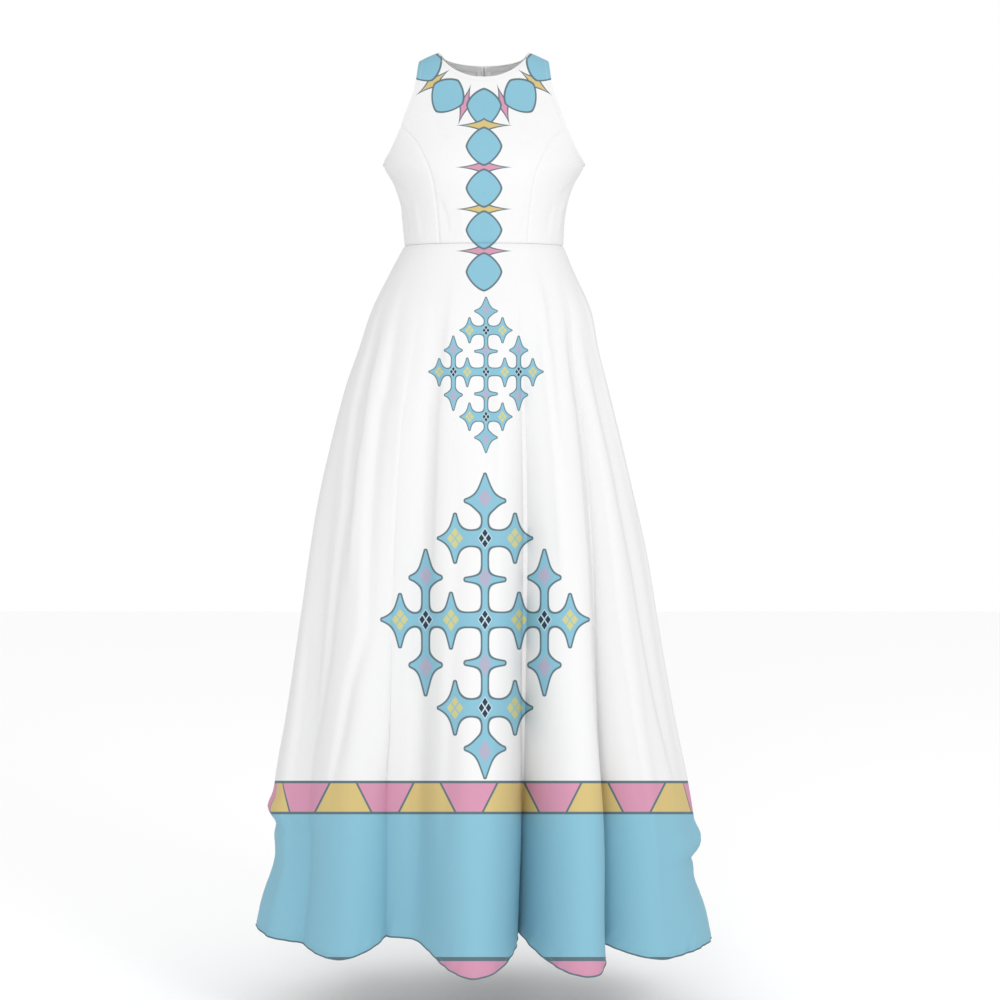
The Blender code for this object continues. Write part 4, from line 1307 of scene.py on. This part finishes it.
def add_stitches(panel, runs, distance, thread, tree):
    """Rows of stitches at a set distance from a panel's edges."""
    points, edges = [], []
    for edge, low, high in runs:
        line, _, _ = panel.line(edge, distance, low, high, STITCH_SUNK)
        first = len(points)
        points += line.tolist()
        edges += [(k, k + 1) for k in range(first, len(points) - 1)]
    name = panel.name + "_stitches"
    mesh = bpy.data.meshes.new(name)
    mesh.from_pydata(points, edges, [])
    made = bpy.data.objects.new(name, mesh)
    bpy.context.scene.collection.objects.link(made)
    sewing = made.modifiers.new("sewing", "NODES")
    sewing.node_group = tree
    keys = {item.name: item.identifier for item in tree.interface.items_tree if item.in_out == "INPUT"}
    sizes = {"Pitch": STITCH_PITCH, "Length": STITCH_LENGTH, "Thickness": STITCH_THICKNESS}
    for key, value in {**sizes, "Thread": thread}.items():
        sewing[keys[key]] = value
    shown = bpy.context.evaluated_depsgraph_get()
    stitched = bpy.data.meshes.new_from_object(made.evaluated_get(shown))
    made.modifiers.clear()
    made.data = stitched
    stitched.shade_smooth()
    add_piece(made)


def make_bodice(finishes, tree):
    made = {}
    for seed, (name, outline, columns, rows, seams, open_edges) in enumerate(BODICE_PANELS):
        across, upwards = crowded(columns, BODICE_CROWDING), crowded(rows, BODICE_CROWDING)
        places = outline(*np.meshgrid(across, upwards))
        bearing, down = places[..., 0], places[..., 1]
        normals = surface_normals(bodice_point, bearing, np.maximum(down, SHOULDER_STEP))
        girth = np.full(bearing.shape, BODICE_GIRTH)
        panel = finished_panel(
            name, BODICE, bodice_point(bearing, down), normals, bearing, girth, seams, seed, across, upwards
        )
        face = finishes["bodice front" if "front" in name else "bodice back"]
        folded = [seam for seam in seams if seam[0] != BACK_CENTRE.get(name)]
        add_panel(panel, face, finishes["inside"], folded)
        add_turned_edges(panel, open_edges, face)
        add_stitches(panel, open_edges, EDGE_STITCHES, finishes["white thread"], tree)
        made[name] = panel
    return made


def even_flanks(first, last, shares):
    """Columns that stand evenly along the lower skirt, but for the shares that place them."""
    dense = np.linspace(first, last, FLANK_STEPS * (last - first) + 1)
    along = chord_lengths(skirt_place(dense, np.full_like(dense, EVEN_FALL))[0])
    return np.interp(shares * along[-1], along, dense)


def make_skirt(finishes, tree):
    made = {}
    for seed, (name, first, last, columns, rows, seams) in enumerate(SKIRT_PANELS, 20):
        across, upwards = crowded(columns, SKIRT_COLUMN_CROWDING), crowded(rows, SKIRT_ROW_CROWDING)
        flanks, falls = np.meshgrid(even_flanks(first, last, across), 1 - upwards)
        points, bearing = skirt_place(flanks, falls)
        normals = surface_normals(lambda u, v: skirt_place(u, v)[0], flanks, falls)
        right, left, front, back = np.moveaxis(skirt_section(-points[..., 2]), -1, 0)
        girth = (right + left + front + back) / 4
        points = rippled(points, normals, across, upwards, seed)
        panel = finished_panel(name, SKIRT, points, normals, bearing, girth, seams, seed, across, upwards)
        face = finishes["skirt front" if name == "skirt_front" else "skirt back"]
        add_panel(panel, face, finishes["inside"], seams)
        add_rolled_hem(panel, finishes["hem"])
        add_stitches(panel, [("low", 0, 1)], HEM_STITCHES, finishes["hem thread"], tree)
        made[name] = panel
    return made


# Zip: tapes and coils inside the back centre seam, slider and pull tab outside it.
TAPE_START, TAPE_WIDTH, TAPE_WALL, TAPE_SUNK = 0.0003, 0.011, 0.0008, 0.0018
TAPE_ROWS = 5
COIL_PITCH, COIL_HALF_WIDTH, COIL_HALF_DEPTH, COIL_WIRE = 0.0015, 0.0012, 0.0008, 0.0003
COIL_FROM_SEAM, COIL_TOP, COIL_STEPS, COIL_CORNERS = 0.0010, 0.995, 8, 6
COIL_SUNK = TAPE_SUNK + TAPE_WALL + COIL_WIRE + COIL_HALF_DEPTH + 0.0001
SLIDER_DISTANCE = 0.016
SLIDER_WIDTH, SLIDER_LENGTH, SLIDER_HEEL = 0.0046, 0.0090, 0.0034
SLIDER_FOOT, SLIDER_TOP, SLIDER_BEVEL = 0.0006, 0.0020, 0.00025
# Where the slider is broadest, as a share of its half length, and how much of that breadth its top keeps
SLIDER_BROADEST, SLIDER_TOP_SHARE = 0.3, 0.9
CROWN_WIDTH, CROWN_LENGTH, CROWN_TOP, CROWN_BAR = 0.0016, 0.0050, 0.0055, 0.0009
CROWN_SUNK, CROWN_CORNER_LENGTH, CROWN_CORNER_HEIGHT = 0.0005, 0.0009, 0.0006
HINGE_HEIGHT = 0.0033
TAB_THICKNESS, TAB_BEVEL = 0.0010, 0.00015
TAB_LENGTH, TAB_EYE_LENGTH = 0.0190, 0.0039
TAB_HALF_WIDTH, TAB_EYE_HALF_WIDTH = 0.0023, 0.00125
# How square the tab and its eye are: lower powers and a higher factor fill their corners.
TAB_POINTS, TAB_BREADTH_POWER, TAB_LENGTH_POWER, EYE_SQUARENESS = 64, 0.6, 0.7, 1.3
# Hard parts are bevelled where they turn by more than the first angle, and shaded sharp past the second.
BEVELLED_CORNER, HARD_CORNER = math.radians(40), math.radians(35)
TAPE_WHITE, COIL_WHITE, ENAMEL_WHITE = (0.70, 0.70, 0.70), (0.72, 0.72, 0.70), (0.74, 0.74, 0.73)
TAPE_ROUGHNESS, COIL_ROUGHNESS, ENAMEL_ROUGHNESS = 0.8, 0.4, 0.28
TAPE_WEAVE = 0.0001


def zip_side(side, edge, phase, panels, tape, coil):
    """One tape with its coil of teeth, along the centre edges of the bodice and skirt backs of its side."""
    runs = ((panels["skirt_back_" + side], ZIP_END_SHARE), (panels["bodice_back_" + side], 0.0))
    distances = np.linspace(TAPE_START, TAPE_WIDTH, TAPE_ROWS)
    shapes = []
    for panel, low in runs:
        points, _, places = panel.strip(edge, distances, low, 1.0, TAPE_SUNK)
        shapes.append(shell(points, places, TAPE_WALL))
    name = "zip_tape_" + side
    add_piece(made_of(name, shapes, [tape, tape]), stands_for=name)
    lines = [panel.line(edge, COIL_FROM_SEAM, low, COIL_TOP, COIL_SUNK) for panel, low in runs]
    middle, normals, places = (np.concatenate(parts) for parts in zip(*lines))
    along = chord_lengths(middle)
    at = np.arange(0, along[-1], COIL_PITCH / COIL_STEPS)
    middle, normals, places = (read_along(at, along, values) for values in (middle, normals, places))
    seam = np.gradient(middle, axis=0)
    seam /= np.linalg.norm(seam, axis=-1, keepdims=True)
    turn = (2 * math.pi * (at / COIL_PITCH + phase))[:, None]
    sideways = np.cross(seam, normals)
    wire = middle + sideways * np.cos(turn) * COIL_HALF_WIDTH + normals * np.sin(turn) * COIL_HALF_DEPTH
    teeth = roll(wire, seam, COIL_WIRE, COIL_WIRE, places, corners=COIL_CORNERS)
    name = "zip_coil_" + side
    add_piece(made_of(name, [teeth], [coil]))


def zip_place():
    """Where the slider sits: just under the back neck, its own z axis pointing out of the cloth."""
    down, step = float(on_bodice(0.0, NECK_BACK[0][1])[1]) + SLIDER_DISTANCE, 1e-4
    around = bodice_point(BACK + step, down) - bodice_point(BACK - step, down)
    falling = bodice_point(BACK, down + step) - bodice_point(BACK, down - step)
    normal = Vector(np.cross(falling, around)).normalized()
    sideways = Vector((-1.0, 0.0, 0.0))
    turn = Matrix((sideways, normal.cross(sideways), normal)).transposed().to_4x4()
    return Matrix.Translation(bodice_point(BACK, down)) @ turn


def prism(outline, low, high, axis):
    """Corners and faces of an outline drawn out along the x or the z axis."""
    count = len(outline)
    points = [(*p, at) if axis == "z" else (at, *p) for at in (low, high) for p in outline]
    around = [(i, (i + 1) % count, count + (i + 1) % count, count + i) for i in range(count)]
    return points, around + [tuple(range(count - 1, -1, -1)), tuple(range(count, 2 * count))]


def bevelled(name, shapes, place, finish, width):
    """One object from small hard shapes with rounded edges."""
    whole = bmesh.new()
    for points, faces in shapes:
        corners = [whole.verts.new(place @ Vector(point)) for point in points]
        for face in faces:
            whole.faces.new([corners[i] for i in face])
    bmesh.ops.recalc_face_normals(whole, faces=whole.faces)
    sharp = [edge for edge in whole.edges if edge.calc_face_angle(0.0) > BEVELLED_CORNER]
    bmesh.ops.bevel(whole, geom=sharp, offset=width, segments=3, profile=0.5, affect="EDGES")
    mesh = bpy.data.meshes.new(name)
    whole.to_mesh(mesh)
    whole.free()
    mesh.materials.append(finish)
    mesh.shade_smooth()
    mesh.set_sharp_from_angle(angle=HARD_CORNER)
    made = bpy.data.objects.new(name, mesh)
    bpy.context.scene.collection.objects.link(made)
    return made


def zip_slider(place, finish):
    """The slider's body, narrow at its heel, and the crown over it that holds the tab."""
    half_width, half_length, heel = SLIDER_WIDTH / 2, SLIDER_LENGTH / 2, SLIDER_HEEL / 2
    broadest, top = half_length * SLIDER_BROADEST, half_width * SLIDER_TOP_SHARE
    body = [
        (-heel, -half_length),
        (heel, -half_length),
        (half_width, broadest),
        (top, half_length),
        (-top, half_length),
        (-half_width, broadest),
    ]
    end, root = CROWN_LENGTH / 2, SLIDER_TOP - CROWN_SUNK
    inner, under = end - CROWN_BAR, CROWN_TOP - CROWN_BAR
    corner, shoulder = end - CROWN_CORNER_LENGTH, CROWN_TOP - CROWN_CORNER_HEIGHT
    crown = [
        (-end, root),
        (-inner, root),
        (-inner, under),
        (inner, under),
        (inner, root),
        (end, root),
        (end, shoulder),
        (corner, CROWN_TOP),
        (-corner, CROWN_TOP),
        (-end, shoulder),
    ]
    half_crown = CROWN_WIDTH / 2
    shapes = [prism(body, SLIDER_FOOT, SLIDER_TOP, "z"), prism(crown, -half_crown, half_crown, "x")]
    return bevelled("zip_slider", shapes, place, finish, SLIDER_BEVEL)


def zip_tab(place, finish):
    """The pull tab: a drop with an eye, whose top bar lies on the hinge line under the crown."""
    bar = TAB_THICKNESS / 2
    eye_middle, eye_half = -(TAB_EYE_LENGTH + bar) / 2, (TAB_EYE_LENGTH - bar) / 2
    outer, inner = [], []
    for i in range(TAB_POINTS):
        s, c = math.sin(2 * math.pi * i / TAB_POINTS), math.cos(2 * math.pi * i / TAB_POINTS)
        reach = TAB_LENGTH if c < 0 else bar
        broad = math.copysign(abs(s) ** TAB_BREADTH_POWER, s)
        long = math.copysign(abs(c) ** TAB_LENGTH_POWER, c)
        outer.append((TAB_HALF_WIDTH * broad, reach * long))
        square_s, square_c = (max(-1.0, min(1.0, EYE_SQUARENESS * share)) for share in (s, c))
        inner.append((TAB_EYE_HALF_WIDTH * square_s, eye_middle + eye_half * square_c))
    points = [(x, y, z) for z in (bar, -bar) for loop in (outer, inner) for x, y in loop]
    top_outer, top_inner, foot_outer, foot_inner = (k * TAB_POINTS for k in range(4))
    faces = []
    for i in range(TAB_POINTS):
        j = (i + 1) % TAB_POINTS
        faces += [
            (top_outer + i, top_inner + i, top_inner + j, top_outer + j),
            (foot_outer + i, foot_outer + j, foot_inner + j, foot_inner + i),
            (top_outer + i, top_outer + j, foot_outer + j, foot_outer + i),
            (top_inner + i, foot_inner + i, foot_inner + j, top_inner + j),
        ]
    hinge = place @ Matrix.Translation((0, 0, HINGE_HEIGHT))
    return bevelled("zip_pull", [(points, faces)], hinge, finish, TAB_BEVEL)


def make_zip(panels):
    tape = plain_finish("woven zip tape", TAPE_WHITE, TAPE_ROUGHNESS, TAPE_WEAVE)
    coil = plain_finish("nylon coil", COIL_WHITE, COIL_ROUGHNESS)
    enamel = plain_finish("white enamel", ENAMEL_WHITE, ENAMEL_ROUGHNESS)
    zip_side("left", "right", 0.0, panels, tape, coil)
    zip_side("right", "left", 0.5, panels, tape, coil)
    place = zip_place()
    add_piece(zip_slider(place, enamel), stands_for="zip_slider")
    add_piece(zip_tab(place, enamel), body="pull_tab", stands_for="zip_pull")


def make_studio():
    world = bpy.data.worlds.new("studio")
    world.use_nodes = True
    world.node_tree.nodes["Background"].inputs["Color"].default_value = STUDIO_WHITE
    world.node_tree.nodes["Background"].inputs["Strength"].default_value = 1.0
    bpy.context.scene.world = world
    bpy.context.scene.view_settings.view_transform = "Standard"


def make_floor():
    """A plain pale floor, a little under the lowest fold of the hem."""
    low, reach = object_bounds()[0][2] - FLOOR_GAP, FLOOR_REACH
    corners = [(-reach, -reach, low), (reach, -reach, low), (reach, reach, low), (-reach, reach, low)]
    paint = plain_finish("pale floor", FLOOR_PAINT, 1.0)
    new_mesh("floor", corners, [(0, 1, 2, 3)], [paint])


def make_lights():
    for name, (place, size, power) in LIGHTS.items():
        light = bpy.data.lights.new(name, "AREA")
        light.shape, light.size, light.energy = "DISK", size, power
        made = bpy.data.objects.new(name, light)
        made.location = place
        made.rotation_euler = (Vector(LIT_MIDDLE) - Vector(place)).to_track_quat("-Z", "Y").to_euler()
        bpy.context.scene.collection.objects.link(made)


def make_camera():
    camera = bpy.data.cameras.new("camera")
    camera.lens, camera.sensor_width = LENS, SENSOR
    made = bpy.data.objects.new("camera", camera)
    made.location = CAMERA_PLACE
    made.rotation_euler = (math.pi / 2 - CAMERA_TILT, 0, 0)
    bpy.context.scene.collection.objects.link(made)
    bpy.context.scene.camera = made


def main():
    """Loads the solids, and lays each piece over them."""
    for old in list(bpy.data.objects):
        bpy.data.objects.remove(old)
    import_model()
    finishes = {
        name: cloth_finish("printed cloth, " + name, designs) for name, designs in DESIGNS.items()
    }
    finishes["inside"] = cloth_finish("cloth inside", [print_border], strength=PRINT_SEEN_INSIDE)
    finishes["hem"] = cloth_finish("rolled hem", ground=INK["slate"])
    finishes["white thread"] = plain_finish("white thread", CLOTH_WHITE, THREAD_ROUGHNESS)
    finishes["hem thread"] = plain_finish("turquoise thread", INK["turquoise"], THREAD_ROUGHNESS)
    tree = stitch_tree()
    panels = {**make_bodice(finishes, tree), **make_skirt(finishes, tree)}
    make_zip(panels)
    make_studio()
    make_floor()
    make_lights()
    make_camera()


main()
